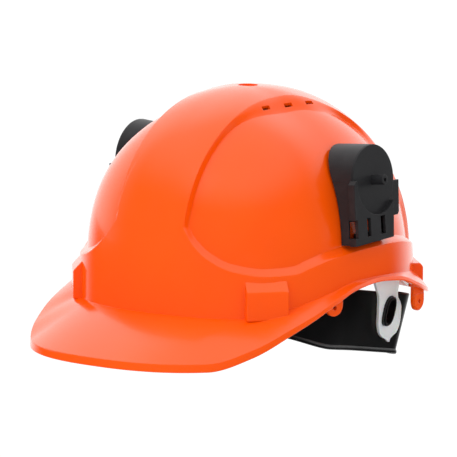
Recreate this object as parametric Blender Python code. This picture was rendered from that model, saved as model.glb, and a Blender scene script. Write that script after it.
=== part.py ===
"""Safety helmet with plug-in side carriers and a ratchet headband.

Front of the helmet is -Y, the wearer's left is +X, up is +Z.  Everything is
worked in millimetres in the moulding frame and written out in metres with the
box of the whole object standing centred on the origin.

A frame is (origin, u, v, n): outlines lie in u, v and are extruded along n.
A side is +1 for the wearer's left and -1 for the right.  Shell angles are
radians from the front, turning towards the wearer's left.
"""
import math

import bmesh
import bpy
import numpy as np
from mathutils import Matrix, Vector

for old in list(bpy.data.objects):
    bpy.data.objects.remove(old, do_unlink=True)

MM = 0.001
SHIFT = Vector((0.0, 8.2, 60.03))      # moulding frame -> standing frame, mm
STAND = 0.3                            # clearance between separate pieces
SLOT_GAP = 0.35                        # clearance round a plate in its slot
SIDES = (("left", 1), ("right", -1))

EX, EY, EZ = Vector((1, 0, 0)), Vector((0, 1, 0)), Vector((0, 0, 1))
WORLD = (Vector((0, 0, 0)), EX, EY, EZ)


# ------------------------------------------------------------ materials
# name, base colour, roughness
MATERIAL_TABLE = (
    ("shell_orange", (0.93, 0.13, 0.004), 0.28),
    ("carrier_black", (0.035, 0.035, 0.037), 0.42),
    ("band_black", (0.012, 0.012, 0.013), 0.45),
    ("hanger_clear", (0.62, 0.64, 0.66), 0.35),
    ("strap_webbing", (0.55, 0.56, 0.58), 0.85),
    ("foam_grey", (0.05, 0.05, 0.055), 0.9),
    ("pawl_grey", (0.3, 0.3, 0.31), 0.5),
    ("strap_black", (0.02, 0.02, 0.021), 0.5),
)


def make_material(name, colour, roughness):
    mat = bpy.data.materials.new(name)
    mat.use_nodes = True
    shader = mat.node_tree.nodes["Principled BSDF"]
    shader.inputs["Base Color"].default_value = (*colour, 1)
    shader.inputs["Roughness"].default_value = roughness
    mat.diffuse_color = (*colour, 1)
    return mat


MATERIALS = {row[0]: make_material(*row) for row in MATERIAL_TABLE}


# ------------------------------------------------------------ mesh helpers
def make_object(name, verts, faces, material=None):
    """Mesh object with its vertices merged and its faces turned outwards."""
    mesh = bpy.data.meshes.new(name)
    mesh.from_pydata([tuple(vert) for vert in verts], [], faces)
    mesh.validate()
    bm = bmesh.new()
    bm.from_mesh(mesh)
    bmesh.ops.remove_doubles(bm, verts=bm.verts, dist=1e-4)
    bmesh.ops.dissolve_degenerate(bm, dist=1e-5, edges=bm.edges)
    bmesh.ops.recalc_face_normals(bm, faces=bm.faces)
    if bm.calc_volume(signed=True) < 0:
        bmesh.ops.reverse_faces(bm, faces=bm.faces)
    bm.to_mesh(mesh)
    bm.free()
    item = bpy.data.objects.new(name, mesh)
    bpy.context.collection.objects.link(item)
    if material:
        mesh.materials.append(MATERIALS[material])
    return item


def triangulate(item):
    bm = bmesh.new()
    bm.from_mesh(item.data)
    bmesh.ops.triangulate(bm, faces=bm.faces)
    bmesh.ops.dissolve_degenerate(bm, dist=2e-3, edges=bm.edges)
    bm.to_mesh(item.data)
    bm.free()


def boolean(body, tool, operation):
    """Apply the boolean to body and remove the tool."""
    triangulate(body)
    triangulate(tool)
    modifier = body.modifiers.new("boolean", 'BOOLEAN')
    modifier.operation = operation
    modifier.solver = 'EXACT'
    modifier.object = tool
    depsgraph = bpy.context.evaluated_depsgraph_get()
    depsgraph.update()
    mesh = bpy.data.meshes.new_from_object(body.evaluated_get(depsgraph))
    body.modifiers.clear()
    old_mesh = body.data
    body.data = mesh
    bpy.data.meshes.remove(old_mesh)
    bpy.data.objects.remove(tool, do_unlink=True)


def cut(body, tool):
    boolean(body, tool, 'DIFFERENCE')


def join(body, tool):
    boolean(body, tool, 'UNION')


def prism(outline, depth0, depth1, frame, name="tool", material=None):
    """Extrude a closed outline (u, v) from depth0 to depth1 along n."""
    origin, u, v, n = frame
    count = len(outline)
    verts = [origin + u * p[0] + v * p[1] + n * depth
             for depth in (depth0, depth1) for p in outline]
    faces = [tuple(range(count - 1, -1, -1)), tuple(range(count, 2 * count))]
    for i in range(count):
        k = (i + 1) % count
        faces.append((i, k, count + k, count + i))
    return make_object(name, verts, faces, material)


def box(low, high, frame=WORLD, name="tool", material=None):
    outline = [(low[0], low[1]), (high[0], low[1]), (high[0], high[1]), (low[0], high[1])]
    return prism(outline, low[2], high[2], frame, name, material)


def profile_block(section, u0, u1, frame):
    """Solid whose section (n, v) is swept from u0 to u1 along a wall."""
    _, u, v, n = frame
    count = len(section)
    verts = [u * across + n * p[0] + v * p[1] for across in (u0, u1) for p in section]
    faces = [tuple(range(count)), tuple(range(2 * count - 1, count - 1, -1))]
    for i in range(count):
        k = (i + 1) % count
        faces.append((i, count + i, count + k, k))
    return make_object("tool", verts, faces)


def tube_mesh(rings, first_pole, last_pole):
    """Closed solid from rings with a pole at each end: (verts, faces)."""
    count = len(rings[0])
    verts = [first_pole]
    for ring in rings:
        verts.extend(ring.tolist())
    verts.append(last_pole)
    faces = [(0, 1 + j, 1 + (j + 1) % count) for j in range(count)]
    for i in range(len(rings) - 1):
        a, b = 1 + i * count, 1 + (i + 1) * count
        for j in range(count):
            k = (j + 1) % count
            faces.append((a + j, b + j, b + k, a + k))
    start, pole = 1 + (len(rings) - 1) * count, len(verts) - 1
    for j in range(count):
        faces.append((start + j, pole, start + (j + 1) % count))
    return verts, faces


# Face patterns of bars built from four-cornered sections: side faces (0-3 on
# one section, 4-7 on the next), start cap, end cap
ARC_BAR = (((0, 1, 5, 4), (1, 2, 6, 5), (2, 3, 7, 6), (3, 0, 4, 7)), (3, 2, 1, 0), (0, 1, 2, 3))
BAND_BAR = (((0, 4, 5, 1), (1, 5, 6, 2), (2, 6, 7, 3), (3, 7, 4, 0)), (0, 1, 2, 3), (3, 2, 1, 0))
PLATE_BAR = (((0, 1, 5, 4), (1, 3, 7, 5), (3, 2, 6, 7), (2, 0, 4, 6)), (0, 2, 3, 1), (1, 3, 2, 0))


def bar(name, verts, pattern, material=None):
    """Closed bar through consecutive sections of four vertices."""
    sides, start_cap, end_cap = pattern
    last = len(verts) - 4
    faces = [tuple(base + corner for corner in quad)
             for base in range(0, last, 4) for quad in sides]
    faces.append(start_cap)
    faces.append(tuple(last + corner for corner in end_cap))
    return make_object(name, verts, faces, material)


def circle(radius, count, u=0.0, v=0.0):
    return [(u + radius * math.cos(2 * math.pi * i / count),
             v + radius * math.sin(2 * math.pi * i / count)) for i in range(count)]


def side_frame(angle, side):
    """Frame on the Z axis for a wall facing this angle: u rearwards, v up, n out."""
    n = Vector((side * math.sin(angle), -math.cos(angle), 0))
    u = Vector((side * math.cos(angle), math.sin(angle), 0))
    return (Vector((0, 0, 0)), u, EZ, n)


# ------------------------------------------------------------ shell surface
DOME_HALF_W = 103.0      # half width at the base
DOME_FRONT = 118.7       # base centre to front
DOME_REAR = 124.4        # base centre to rear
DOME_H = 132.9           # base to crown
DOME_YC = 10.1           # base centre, towards the rear
DOME_YC_TOP = 4.3        # crown centre
# shape powers, rear and front
PLAN_POWER = (2.165, 2.41)      # squareness of the plan
PROFILE_POWER = (0.90, 1.145)   # fullness of the profile
HEIGHT_POWER = (0.89, 0.70)     # spread of the profile over the height
LATITUDE_POWER = 0.872   # spacing of the latitude rings
WALL = 2.6               # shell wall
PANEL_D = 4.4            # side panels lie this far below crown and lower band
LEDGE_W = 5.0            # height of the ledge under a side panel
CROWN_X = 28.5           # half width of the crown band at the front
FLARE_SLOPE = 0.364      # the crown band widens at this rate behind FLARE_Y
FLARE_Y = 8
FLARE_BLEND = 8
PANEL_BLEND = 0.35       # rounding where crown step and ledge step meet
PEAK = 52.0              # reach of the peak beyond the dome
PEAK_AZ = 45.0           # azimuth where the peak has halved
GUTTER = 9.5             # reach of the rear gutter

# (degrees from the front, height): rim's free edge, flange root, panel ledge
RIM_LOW = ((0, -39), (30, -38.3), (40, -30.8), (51, -18.8), (61, -9.8), (70, -2),
           (80, 4.2), (92, 6.2), (104, 4), (114, -3), (122, -9), (132, -13.5),
           (145, -17), (180, -19))
RIM_ROOT = ((0, -9), (42, -9.5), (50, -6), (60, -1), (70, 5), (82, 12.5),
            (92, 14.5), (104, 14), (114, 15), (122, 15), (132, 12), (145, 4),
            (180, -4))
LEDGE = ((0, 58), (10, 56), (16, 50), (20, 40), (26, 30), (35, 22), (47, 18.5),
         (56, 19), (63, 23), (72, 27), (85, 29.5), (98, 30), (110, 28.5),
         (120, 25), (130, 21), (143, 16), (155, 14), (180, 14))

SHELL_ANGLES = np.linspace(0, 2 * math.pi, 84, endpoint=False)
# rings in each zone of the shell
DOME_RINGS, LEDGE_RINGS, BAND_RINGS, FLANGE_RINGS, INNER_RINGS = 17, 1, 3, 3, 11


def pchip(table, x):
    """Monotone cubic through the table, held level beyond its ends."""
    knots = np.array([row[0] for row in table], float)
    values = np.array([row[1] for row in table], float)
    gap = np.diff(knots)
    slope = np.diff(values) / gap
    grad = np.zeros(len(knots))
    for i in range(1, len(knots) - 1):
        if slope[i - 1] * slope[i] > 0:
            weight0 = 2 * gap[i] + gap[i - 1]
            weight1 = gap[i] + 2 * gap[i - 1]
            grad[i] = (weight0 + weight1) / (weight0 / slope[i - 1] + weight1 / slope[i])
    x = np.clip(x, knots[0], knots[-1])
    k = np.clip(np.searchsorted(knots, x, side='right') - 1, 0, len(knots) - 2)
    t = (x - knots[k]) / gap[k]
    return (values[k] * (1 + 2 * t) * (1 - t) ** 2 + gap[k] * grad[k] * t * (1 - t) ** 2
            + values[k + 1] * t * t * (3 - 2 * t) + gap[k] * grad[k + 1] * t * t * (t - 1))


def azimuth(angle):
    """Degrees from the front, 0..180 on either side."""
    return np.degrees(np.abs((angle + math.pi) % (2 * math.pi) - math.pi))


def smoothstep(t):
    t = np.clip(t, 0.0, 1.0)
    return t * t * (3 - 2 * t)


def dome_point(angle, z):
    """Base surface at height z; below the base it runs straight down."""
    angle = np.asarray(angle, float)
    z = np.asarray(z, float) + 0 * angle
    sin, cos = np.sin(angle), np.cos(angle)
    front = smoothstep(0.5 + cos / 0.9)
    plan, profile, height = (power[0] + (power[1] - power[0]) * front
                             for power in (PLAN_POWER, PROFILE_POWER, HEIGHT_POWER))
    level = np.clip(z, 0, DOME_H) / DOME_H
    shrink = (1 - np.minimum(level ** (2 / height), 1)) ** (profile / 2)
    radius = (np.abs(sin) ** plan + np.abs(cos) ** plan) ** (-1 / plan)
    length = np.where(cos > 0, DOME_FRONT, DOME_REAR)
    centre_y = DOME_YC + (DOME_YC_TOP - DOME_YC) * level ** 2.5
    return np.stack([DOME_HALF_W * radius * sin * shrink,
                     -length * radius * cos * shrink + centre_y, z], -1)


def latitude_z(latitude):
    """Height for a latitude fraction 0..1 (base..crown)."""
    return DOME_H * np.sin(latitude * math.pi / 2) ** LATITUDE_POWER


def latitude_of(z):
    return np.arcsin((np.clip(z, 0, DOME_H) / DOME_H) ** (1 / LATITUDE_POWER)) * 2 / math.pi


def dome_normal(angle, z):
    step = 1e-4
    around = dome_point(angle + step, z) - dome_point(angle - step, z)
    z_in = np.clip(z, 0.5, DOME_H - 0.02)
    rise = dome_point(angle, z_in + 0.01) - dome_point(angle, z_in - 0.01)
    rise = np.where((np.asarray(z) < 0.5)[..., None], np.array([0, 0, 1.0]), rise)
    normal = np.cross(around, rise)
    return normal / (np.linalg.norm(normal, axis=-1, keepdims=True) + 1e-12)


def panel_depth(angle, point):
    """Sink of the side panels as a share of PANEL_D, 0 outside them."""
    x, y, z = np.abs(point[..., 0]), point[..., 1], point[..., 2]
    crown_x = CROWN_X + FLARE_SLOPE * FLARE_BLEND * np.log1p(
        np.exp((y - FLARE_Y) / FLARE_BLEND))
    step_w = 1.6 + 10.0 * smoothstep((y + 62) / 62) * (1 - smoothstep((y - 22) / 38))
    crown_t = (x - crown_x) / step_w
    ledge_t = (z - pchip(LEDGE, azimuth(angle))) / LEDGE_W
    # smooth minimum of the two steps
    mix = np.clip(0.5 + 0.5 * (ledge_t - crown_t) / PANEL_BLEND, 0, 1)
    t = ledge_t * (1 - mix) + crown_t * mix - PANEL_BLEND * mix * (1 - mix)
    t = np.clip(t, 0, 1)
    t = 0.5 * t + 0.5 * smoothstep(t)
    # the crown band itself sinks a little towards its rear edges
    sink = (0.29 * smoothstep((y - 5) / 45) * smoothstep((x / crown_x - 0.3) / 0.65)
            * smoothstep((z - 45) / 40))
    t = t + sink * (1 - t)
    # panels are deepest near 80 degrees
    return t * (1 + 0.4 * np.exp(-((azimuth(angle) - 80) / 26) ** 2))


def skin(angle, z, offset=0.0):
    """Outer surface of the shell with its panels, moved outwards by offset."""
    point = dome_point(angle, z)
    normal = dome_normal(angle, z)
    return point + normal * (offset - PANEL_D * panel_depth(angle, point))[..., None]


def skin_core(heights, offset):
    """Solid filling the skin, its rings flattened to the given heights."""
    rings = []
    for z in heights:
        ring = skin(SHELL_ANGLES, z + 0 * SHELL_ANGLES, offset)
        ring[:, 2] = z
        rings.append(ring)
    verts, faces = tube_mesh(rings, (0, 10, heights[0] - 0.1), (0, 10, heights[-1] + 0.1))
    return make_object("tool", verts, faces)


def rim_reach(angle):
    degrees = azimuth(angle)
    return PEAK / (1 + (degrees / PEAK_AZ) ** 4) + GUTTER * smoothstep((degrees - 90) / 35)


def rim_point(angle, z, reach):
    """Point at height z, this far out from the dome's base outline."""
    base = dome_point(angle, 0 * angle)
    step = 1e-3
    along = dome_point(angle + step, 0 * angle) - dome_point(angle - step, 0 * angle)
    out = np.stack([along[:, 1], -along[:, 0]], -1)
    out /= np.linalg.norm(out, axis=1, keepdims=True)
    return np.stack([base[:, 0] + out[:, 0] * reach, base[:, 1] + out[:, 1] * reach, z], -1)


def shell_rings(angle):
    """Rings from just under the crown, out over the rim and back up the inside."""
    degrees = azimuth(angle)
    root, ledge, low = (pchip(table, degrees) for table in (RIM_ROOT, LEDGE, RIM_LOW))
    reach = rim_reach(angle)
    lip_h = 3.0 + 2.6 * (1 - smoothstep((degrees - 35) / 35))
    edge = low + lip_h
    start = latitude_of(ledge + LEDGE_W)
    rings = []
    for i in range(1, DOME_RINGS + 1):
        t = 1 - i / DOME_RINGS
        rings.append(skin(angle, latitude_z(start + (1 - start) * t)))
    for i in range(1, LEDGE_RINGS + 1):
        rings.append(skin(angle, ledge + LEDGE_W * (1 - i / LEDGE_RINGS)))
    for i in range(1, BAND_RINGS + 1):
        rings.append(skin(angle, ledge + (root - ledge) * i / BAND_RINGS))
    for i in range(1, FLANGE_RINGS + 1):
        t = i / FLANGE_RINGS
        rings.append(rim_point(angle, root + (edge - root) * (t ** 1.15),
                               0.6 + (reach - 0.6) * t))
    # lip round the free edge
    rings.append(rim_point(angle, low + 0.8, reach + 0.5))
    rings.append(rim_point(angle, low, reach + 0.1))
    rings.append(rim_point(angle, low, reach - 1.6))
    rings.append(rim_point(angle, low + 0.55 * (edge - low), reach - 2.2))
    # underside of the flange; the vertical drop grows with its slope
    for i in range(FLANGE_RINGS - 1, -1, -1):
        t = i / FLANGE_RINGS
        slope = np.clip((root - edge) / np.maximum(reach, 1.0), 0, 2.5)
        drop = WALL * np.sqrt(1 + slope * slope) * (1 - 0.35 * (1 - t) * (slope > 0.9))
        z = np.maximum(root + (edge - root) * (t ** 1.15) - drop, low)
        rings.append(rim_point(angle, z, np.maximum(-WALL, -WALL + reach * t)))
    # inside wall
    z_start = rings[-1][:, 2]
    ledge_in = ledge - 1.0
    for i in range(1, BAND_RINGS + 1):
        z = np.maximum(z_start + (ledge_in - z_start) * i / BAND_RINGS, z_start + 0.2 * i)
        rings.append(skin(angle, z, -WALL))
    for i in range(1, LEDGE_RINGS + 1):
        rings.append(skin(angle, ledge_in + (LEDGE_W + 1.0) * i / LEDGE_RINGS, -WALL))
    for i in range(1, INNER_RINGS):
        t = i / INNER_RINGS
        rings.append(skin(angle, latitude_z(start + (1 - start) * t), -WALL))
    return rings


# ------------------------------------------------------------ shell features
# (n, z) sections in the frame of the wall the socket faces from
FRONT_BOSS_ANGLE = math.radians(50)
FRONT_BOSS = ((106.5, -10.5), (114.9, -10.5), (114.9, 9.0), (109.0, 15.5), (106.5, 15.5))
FRONT_BOSS_SLOT = ((109.9, -25), (112.7, -25), (112.7, 7.5), (109.9, 7.5))
FRONT_BOSS_U = (-22.6, 6.4)
FRONT_BOSS_END = 2.5     # wall at each end of the slot
REAR_BOSS_ANGLE = math.radians(135)
REAR_BOSS = ((118.5, -8.0), (130.0, -8.0), (130.0, 3.5), (127.0, 6.8), (118.5, 6.8))
REAR_BOSS_U = (9.5, 33.5)

# azimuth, inner n, outer n, centre u, half width, top z, bottom z, bore z, pad top z
LUGS = ((77, 100.0, 102.8, -3.4, 7.3, 11.0, -12.6, -6.8, None),
        (97, 103.2, 106.0, 63.0, 7.5, 4.0, -22.2, -15.6, -10.4))
LUG_BORE_R = 1.6
LUG_PAD = 0.4            # the flat pad on the rear lug stands proud
LUG_PAD_MARGIN = 0.7     # lug edge to pad edge

# x, y, sideways lean per unit of length
VENTS = ((33.0, -15.7, 0.11), (36.0, 5.8, 0.15), (39.3, 25.5, 0.13))
VENT_Z = 122.7
VENT_HALF_L, VENT_HALF_W = 3.7, 1.35

GATE_Y, GATE_R, GATE_DEPTH = 8.2, 6.9, 1.4     # moulding gate recess

CARRIER_C = (100.9, 14.4, 76.1)   # centre of the left carrier's disc face
TONGUE_W, TONGUE_T = 28.0, 2.2
PANEL_X = float(skin(np.array([math.radians(90.0)]), np.array([38.0]))[0][0])
TONGUE_X = PANEL_X + 0.3          # inner face of the tongue

# hanger sockets: facing angle, slot centre n, centre u, (low z, high z)
KEY_W, HANGER_T = 21.0, 2.0
REAR_ANGLE, REAR_N, REAR_U, REAR_Z = math.pi / 2, 90.9, 44.5, (6.0, 16.5)
FRONT_ANGLE, FRONT_N, FRONT_U, FRONT_Z = math.radians(50), 101.4, -8.0, (8.0, 19.0)
KEY_BOSS_HALF_W, KEY_BOSS_INWARD = 13.0, 3.2


def add_outer_bosses(shell, side):
    """Front sockets, chamfered on top and open below, and solid rear bosses."""
    frame = side_frame(FRONT_BOSS_ANGLE, side)
    join(shell, profile_block(FRONT_BOSS, *FRONT_BOSS_U, frame))
    cut(shell, profile_block(FRONT_BOSS_SLOT, FRONT_BOSS_U[0] + FRONT_BOSS_END,
                             FRONT_BOSS_U[1] - FRONT_BOSS_END, frame))
    join(shell, profile_block(REAR_BOSS, *REAR_BOSS_U, side_frame(REAR_BOSS_ANGLE, side)))


def half_round(u, v, radius, indices, steps):
    """Points of the lower half circle about (u, v)."""
    return [(u - radius * math.cos(math.pi * k / steps),
             v - radius * math.sin(math.pi * k / steps)) for k in indices]


def add_lug(shell, side, degrees, n0, n1, u, half_w, top, bottom, bore_z, pad_top):
    """Chin-strap lug: rounded tab with a bore, hanging from the rim."""
    frame = side_frame(math.radians(degrees), side)
    round_z = bottom + half_w
    outline = [(u - half_w, top), (u - half_w, round_z)]
    outline += half_round(u, round_z, half_w, range(1, 8), 8)
    outline += [(u + half_w, round_z), (u + half_w, top)]
    join(shell, prism(outline, n0, n1, frame))
    if pad_top:
        # raised flat pad round the bore, clear of the rim above it
        radius = half_w - LUG_PAD_MARGIN
        outline = [(u - radius, pad_top)]
        outline += half_round(u, round_z, radius, range(11), 10)
        outline += [(u + radius, pad_top)]
        join(shell, prism(outline, n1 - 0.6, n1 + LUG_PAD, frame))
    cut(shell, prism(circle(LUG_BORE_R, 12, u, bore_z), n0 - 3, n1 + 3, frame))


def cut_vents(shell, side):
    """Vent slots in the step beside the crown band."""
    outline = [(-VENT_HALF_L, -VENT_HALF_W), (VENT_HALF_L, -VENT_HALF_W),
               (VENT_HALF_L, VENT_HALF_W), (-VENT_HALF_L, VENT_HALF_W)]
    for x, y, lean in VENTS:
        along = Vector((side * lean, 1, 0)).normalized()
        face = Vector((side * 0.51, 0, 0.86))
        face = (face - along * face.dot(along)).normalized()
        frame = (Vector((side * x, y, VENT_Z)), along, along.cross(face), face)
        cut(shell, prism(outline, -14, 8, frame))


def cut_tongue_slot(shell, side):
    """Slot for the carrier tongue through the side ledge."""
    xs = sorted((side * (TONGUE_X - SLOT_GAP), side * (TONGUE_X + TONGUE_T + SLOT_GAP)))
    cut(shell, box((xs[0], CARRIER_C[1] - TONGUE_W / 2 - SLOT_GAP, 13.0),
                   (xs[1], CARRIER_C[1] + TONGUE_W / 2 + SLOT_GAP, 44.0)))


def key_boss(frame, n, u, z_range, outward):
    return box((u - KEY_BOSS_HALF_W, z_range[0], n - KEY_BOSS_INWARD),
               (u + KEY_BOSS_HALF_W, z_range[1], n + outward), frame)


def key_slot(frame, n, u, z_range):
    return box((u - KEY_W / 2 - SLOT_GAP, z_range[0] - 3, n - HANGER_T / 2 - SLOT_GAP),
               (u + KEY_W / 2 + SLOT_GAP, z_range[1] + 3, n + HANGER_T / 2 + SLOT_GAP), frame)


def add_hanger_sockets(shell, side):
    """Slotted blocks on the inside wall for the hanger keys."""
    frame = side_frame(REAR_ANGLE, side)
    block = key_boss(frame, REAR_N, REAR_U, REAR_Z, 12.0)
    # trim the block so that it stays within the wall
    core = skin_core((-2.0, 2.0, 6.0, 9.0, 12.0, 16.0, 20.0, 24.0), -0.9)
    boolean(block, core, 'INTERSECT')
    join(shell, block)
    cut(shell, key_slot(frame, REAR_N, REAR_U, REAR_Z))
    frame = side_frame(FRONT_ANGLE, side)
    join(shell, key_boss(frame, FRONT_N, FRONT_U, FRONT_Z, 6.2))
    cut(shell, key_slot(frame, FRONT_N, FRONT_U, FRONT_Z))


def build_shell():
    top = tuple(skin(np.array([0.0]), np.array([DOME_H - 1e-3]))[0])
    top_inside = (top[0], top[1], top[2] - WALL)
    verts, faces = tube_mesh(shell_rings(SHELL_ANGLES), top, top_inside)
    shell = make_object("shell", verts, faces, "shell_orange")
    for _, side in SIDES:
        add_outer_bosses(shell, side)
    for _, side in SIDES:
        for lug in LUGS:
            add_lug(shell, side, *lug)
    for _, side in SIDES:
        cut_vents(shell, side)
    cut(shell, prism(circle(GATE_R, 20, 0, GATE_Y), DOME_H - GATE_DEPTH, DOME_H + 4, WORLD))
    for _, side in SIDES:
        cut_tongue_slot(shell, side)
    for _, side in SIDES:
        add_hanger_sockets(shell, side)


# ------------------------------------------------------------ side carriers
CARRIER_TILT = math.radians(4.5)
CARRIER_R = 24.0         # disc head
CARRIER_STEP = 3.5       # raised face stands this far proud of the disc
CARRIER_WALL = 2.2
SKIRT_TOP = -1.2         # depth where the skirt meets the disc
POST_D, POST_L, POST_BORE_D = 6.9, 9.8, 2.7

# (u, v) outlines about the disc centre; +u is the ear's side
FACE_OUTLINE = ((-24.6, 1.5), (-27.0, -1.0), (-28.4, -42.4), (15.8, -40.6),
                (18.0, -16.0), (0, -10.0), (-10.0, 1.5))
FACE_HOLLOW = ((-25.4, -25.9), (-26.1, -38.4), (13.3, -37.2), (14.4, -25.9))
EAR_OUTLINE = ((22.0, -3.5), (32.6, -3.5), (31.2, -25.2), (29.7, -27.2), (20.5, -27.2))
# windows: u from, u to, depth
WINDOWS = ((-31.0, -25.4, -3.0), (-14.5, -10.4, -1.0), (1.4, 6.6, -1.0))
WINDOW_V = (-37.2, -24.8)
CLEARING_Z = (12.0, 22.0, 26.0, 28.0, 30.0, 32.0, 34.0, 36.0, 40.0, 50.0, 60.0, 70.0,
              80.0, 90.0, 100.0, 108.0, 116.0)


def carrier_outline(inset):
    """Half disc above a four-sided skirt, drawn in by the inset."""
    radius = CARRIER_R - inset
    points = [(radius * math.cos(math.pi * i / 14), radius * math.sin(math.pi * i / 14))
              for i in range(15)]
    points += [(inset - CARRIER_R, 2.0), (inset * 1.1 - 27.9, inset * 1.6 - 41.9),
               (21.2 - inset * 1.1, inset * 1.6 - 40.1), (radius, -2.0)]
    return points


def build_carrier(name, side):
    """Hollow moulding: disc head on a box skirt, post, ear, tongue.  The same
    moulding is used both sides, so the ear is at the rear on the left and at
    the front on the right."""
    cos, sin = math.cos(CARRIER_TILT), math.sin(CARRIER_TILT)
    frame = (Vector((side * CARRIER_C[0], CARRIER_C[1], CARRIER_C[2])), EY,
             Vector((-side * sin, 0, cos)), Vector((side * cos, 0, sin)))

    def slab(points, depth0, depth1, **kwargs):
        return prism([(side * p[0], p[1]) for p in points], depth0, depth1, frame, **kwargs)

    body = slab(carrier_outline(0), -44, SKIRT_TOP, name=name, material="carrier_black")
    cut(body, slab(carrier_outline(CARRIER_WALL), -50, SKIRT_TOP - CARRIER_WALL))
    join(body, prism(circle(CARRIER_R - 0.15, 28), -2.3, 0, frame))
    # raised face below the disc, with a round concave wall against it
    face = slab(FACE_OUTLINE, -1.7, CARRIER_STEP)
    cut(face, prism(circle(CARRIER_R - 0.5, 40), -0.4, 6, frame))
    join(body, face)
    cut(body, slab(FACE_HOLLOW, -4.5, CARRIER_STEP - CARRIER_WALL))
    # bored post on a stub behind the disc
    join(body, prism(circle(5.4, 14), -7.0, -0.6, frame))
    join(body, prism(circle(POST_D / 2, 14), -1.0, POST_L, frame))
    cut(body, prism(circle(POST_BORE_D / 2, 10), POST_L - 9, POST_L + 1, frame))
    join(body, slab(EAR_OUTLINE, -4.6, -2.0))
    # windows low in the face and round the corner away from the ear
    low, high = WINDOW_V
    for u0, u1, depth in WINDOWS:
        cut(body, slab([(u0, low), (u1, low), (u1, high), (u0, high)], depth, 6))
    # clear the shell
    cut(body, skin_core(CLEARING_Z, 0.6))
    # tongue, joined to the inner foot of the skirt
    xs = sorted((side * TONGUE_X, side * (TONGUE_X + TONGUE_T)))
    join(body, box((xs[0], CARRIER_C[1] - TONGUE_W / 2, 15.0),
                   (xs[1], CARRIER_C[1] + TONGUE_W / 2, 40.0)))


# ------------------------------------------------------------ nape frame
BAND_TAPER = math.radians(13.0)   # lean of the band's sides and rear
NAPE_R = 160.0                    # radius of the nape straps
NAPE_O = Vector((0.0, 100.5, -37.75))
NAPE_N = Vector((0, math.cos(BAND_TAPER), -math.sin(BAND_TAPER)))
NAPE_UP = Vector((0, math.sin(BAND_TAPER), math.cos(BAND_TAPER)))
NAPE_C = NAPE_O - NAPE_N * NAPE_R
NAPE_FRAME = (NAPE_O, EX, NAPE_UP, NAPE_N)
STRAP_H, STRAP_T = 21.0, 1.2
STRAP_GAP = 0.15                  # each strap to the nape radius


def nape_point(radius, angle, height):
    """Angle from the rear centre line, positive to the wearer's left."""
    return (NAPE_C + EX * (radius * math.sin(angle)) + NAPE_N * (radius * math.cos(angle))
            + NAPE_UP * height)


def arc_block(r0, r1, angle0, angle1, h0, h1, steps, name="tool", material=None):
    """Sector of a ring about the nape axis."""
    verts = []
    for i in range(steps + 1):
        angle = angle0 + (angle1 - angle0) * i / steps
        for radius, height in ((r0, h0), (r1, h0), (r1, h1), (r0, h1)):
            verts.append(nape_point(radius, angle, height))
    return bar(name, verts, ARC_BAR, material)


# ------------------------------------------------------------ headband
BAND_A = 80.0            # half width, measured at BAND_A_Y
BAND_A_Y = 66.8
BAND_YC = 12.0
BAND_F = 107.0           # centre to front
BAND_Y = 78.5            # y where the sides end and the rear corners begin
BAND_T = 2.0
BAND_SLOPE = 0.18        # fall towards the rear
FRONT_STEPS = 18         # steps in the front quarter
FRONT_POWER = 2.3        # squareness of the front
SIDE_YS = (24.0, 38.0, 52.0, 66.0, 76.0)
REAR_R = NAPE_R + 3.2    # rear ends of the band
CORNER_X, END_X = 65.0, 46.0      # rear corner's end, band's end


def band_z(y):
    return -22.0 - BAND_SLOPE * (y - 13.0)


def band_lean(y):
    return BAND_TAPER * float(smoothstep((y + 30) / 60))


def side_x(y):
    """Outer mid line of the side so that its leaning wall is one plane."""
    return BAND_A + (band_z(y) - band_z(BAND_A_Y)) * math.tan(band_lean(y))


def band_half_height(x, y):
    half = 15 + 6.7 * float(smoothstep((y + 62) / 60))
    if y > BAND_Y:
        half -= 8.5 * float(smoothstep((68.0 - x) / 12))
    return half


def rear_y(angle):
    return NAPE_O.y + (REAR_R * math.cos(angle) - NAPE_R) * math.cos(BAND_TAPER)


def band_path():
    """Outer mid line of the left half, from the front centre to the rear end."""
    points = []
    for i in range(FRONT_STEPS + 1):
        t = math.pi / 2 * i / FRONT_STEPS
        sin, cos = math.sin(t), math.cos(t)
        radius = (sin ** FRONT_POWER + cos ** FRONT_POWER) ** (-1 / FRONT_POWER)
        points.append((side_x(BAND_YC) * radius * sin, BAND_YC - BAND_F * radius * cos))
    for y in SIDE_YS:
        points.append((side_x(y), y))
    # rear corner: quarter turn onto the nape arc
    end, corner = math.asin(END_X / REAR_R), math.asin(CORNER_X / REAR_R)
    corner_y = rear_y(corner)
    p0 = Vector((side_x(BAND_Y - 3), BAND_Y - 3))
    p1 = Vector((side_x(BAND_Y), corner_y - 2.0))
    p3 = Vector((REAR_R * math.sin(corner), corner_y))
    p2 = p3 + Vector((math.cos(corner), -math.sin(corner))) * 8.5
    for i in range(1, 8):
        t = i / 8
        p = p0 * (1 - t) ** 3 + 3 * p1 * t * (1 - t) ** 2 + 3 * p2 * t * t * (1 - t) + p3 * t ** 3
        points.append((p.x, p.y))
    for i in range(4):
        angle = corner + (end - corner) * i / 3
        points.append((REAR_R * math.sin(angle), rear_y(angle)))
    return points


HALF_PATH = band_path()
PATH = [(-x, y) for x, y in reversed(HALF_PATH[1:])] + HALF_PATH


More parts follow.
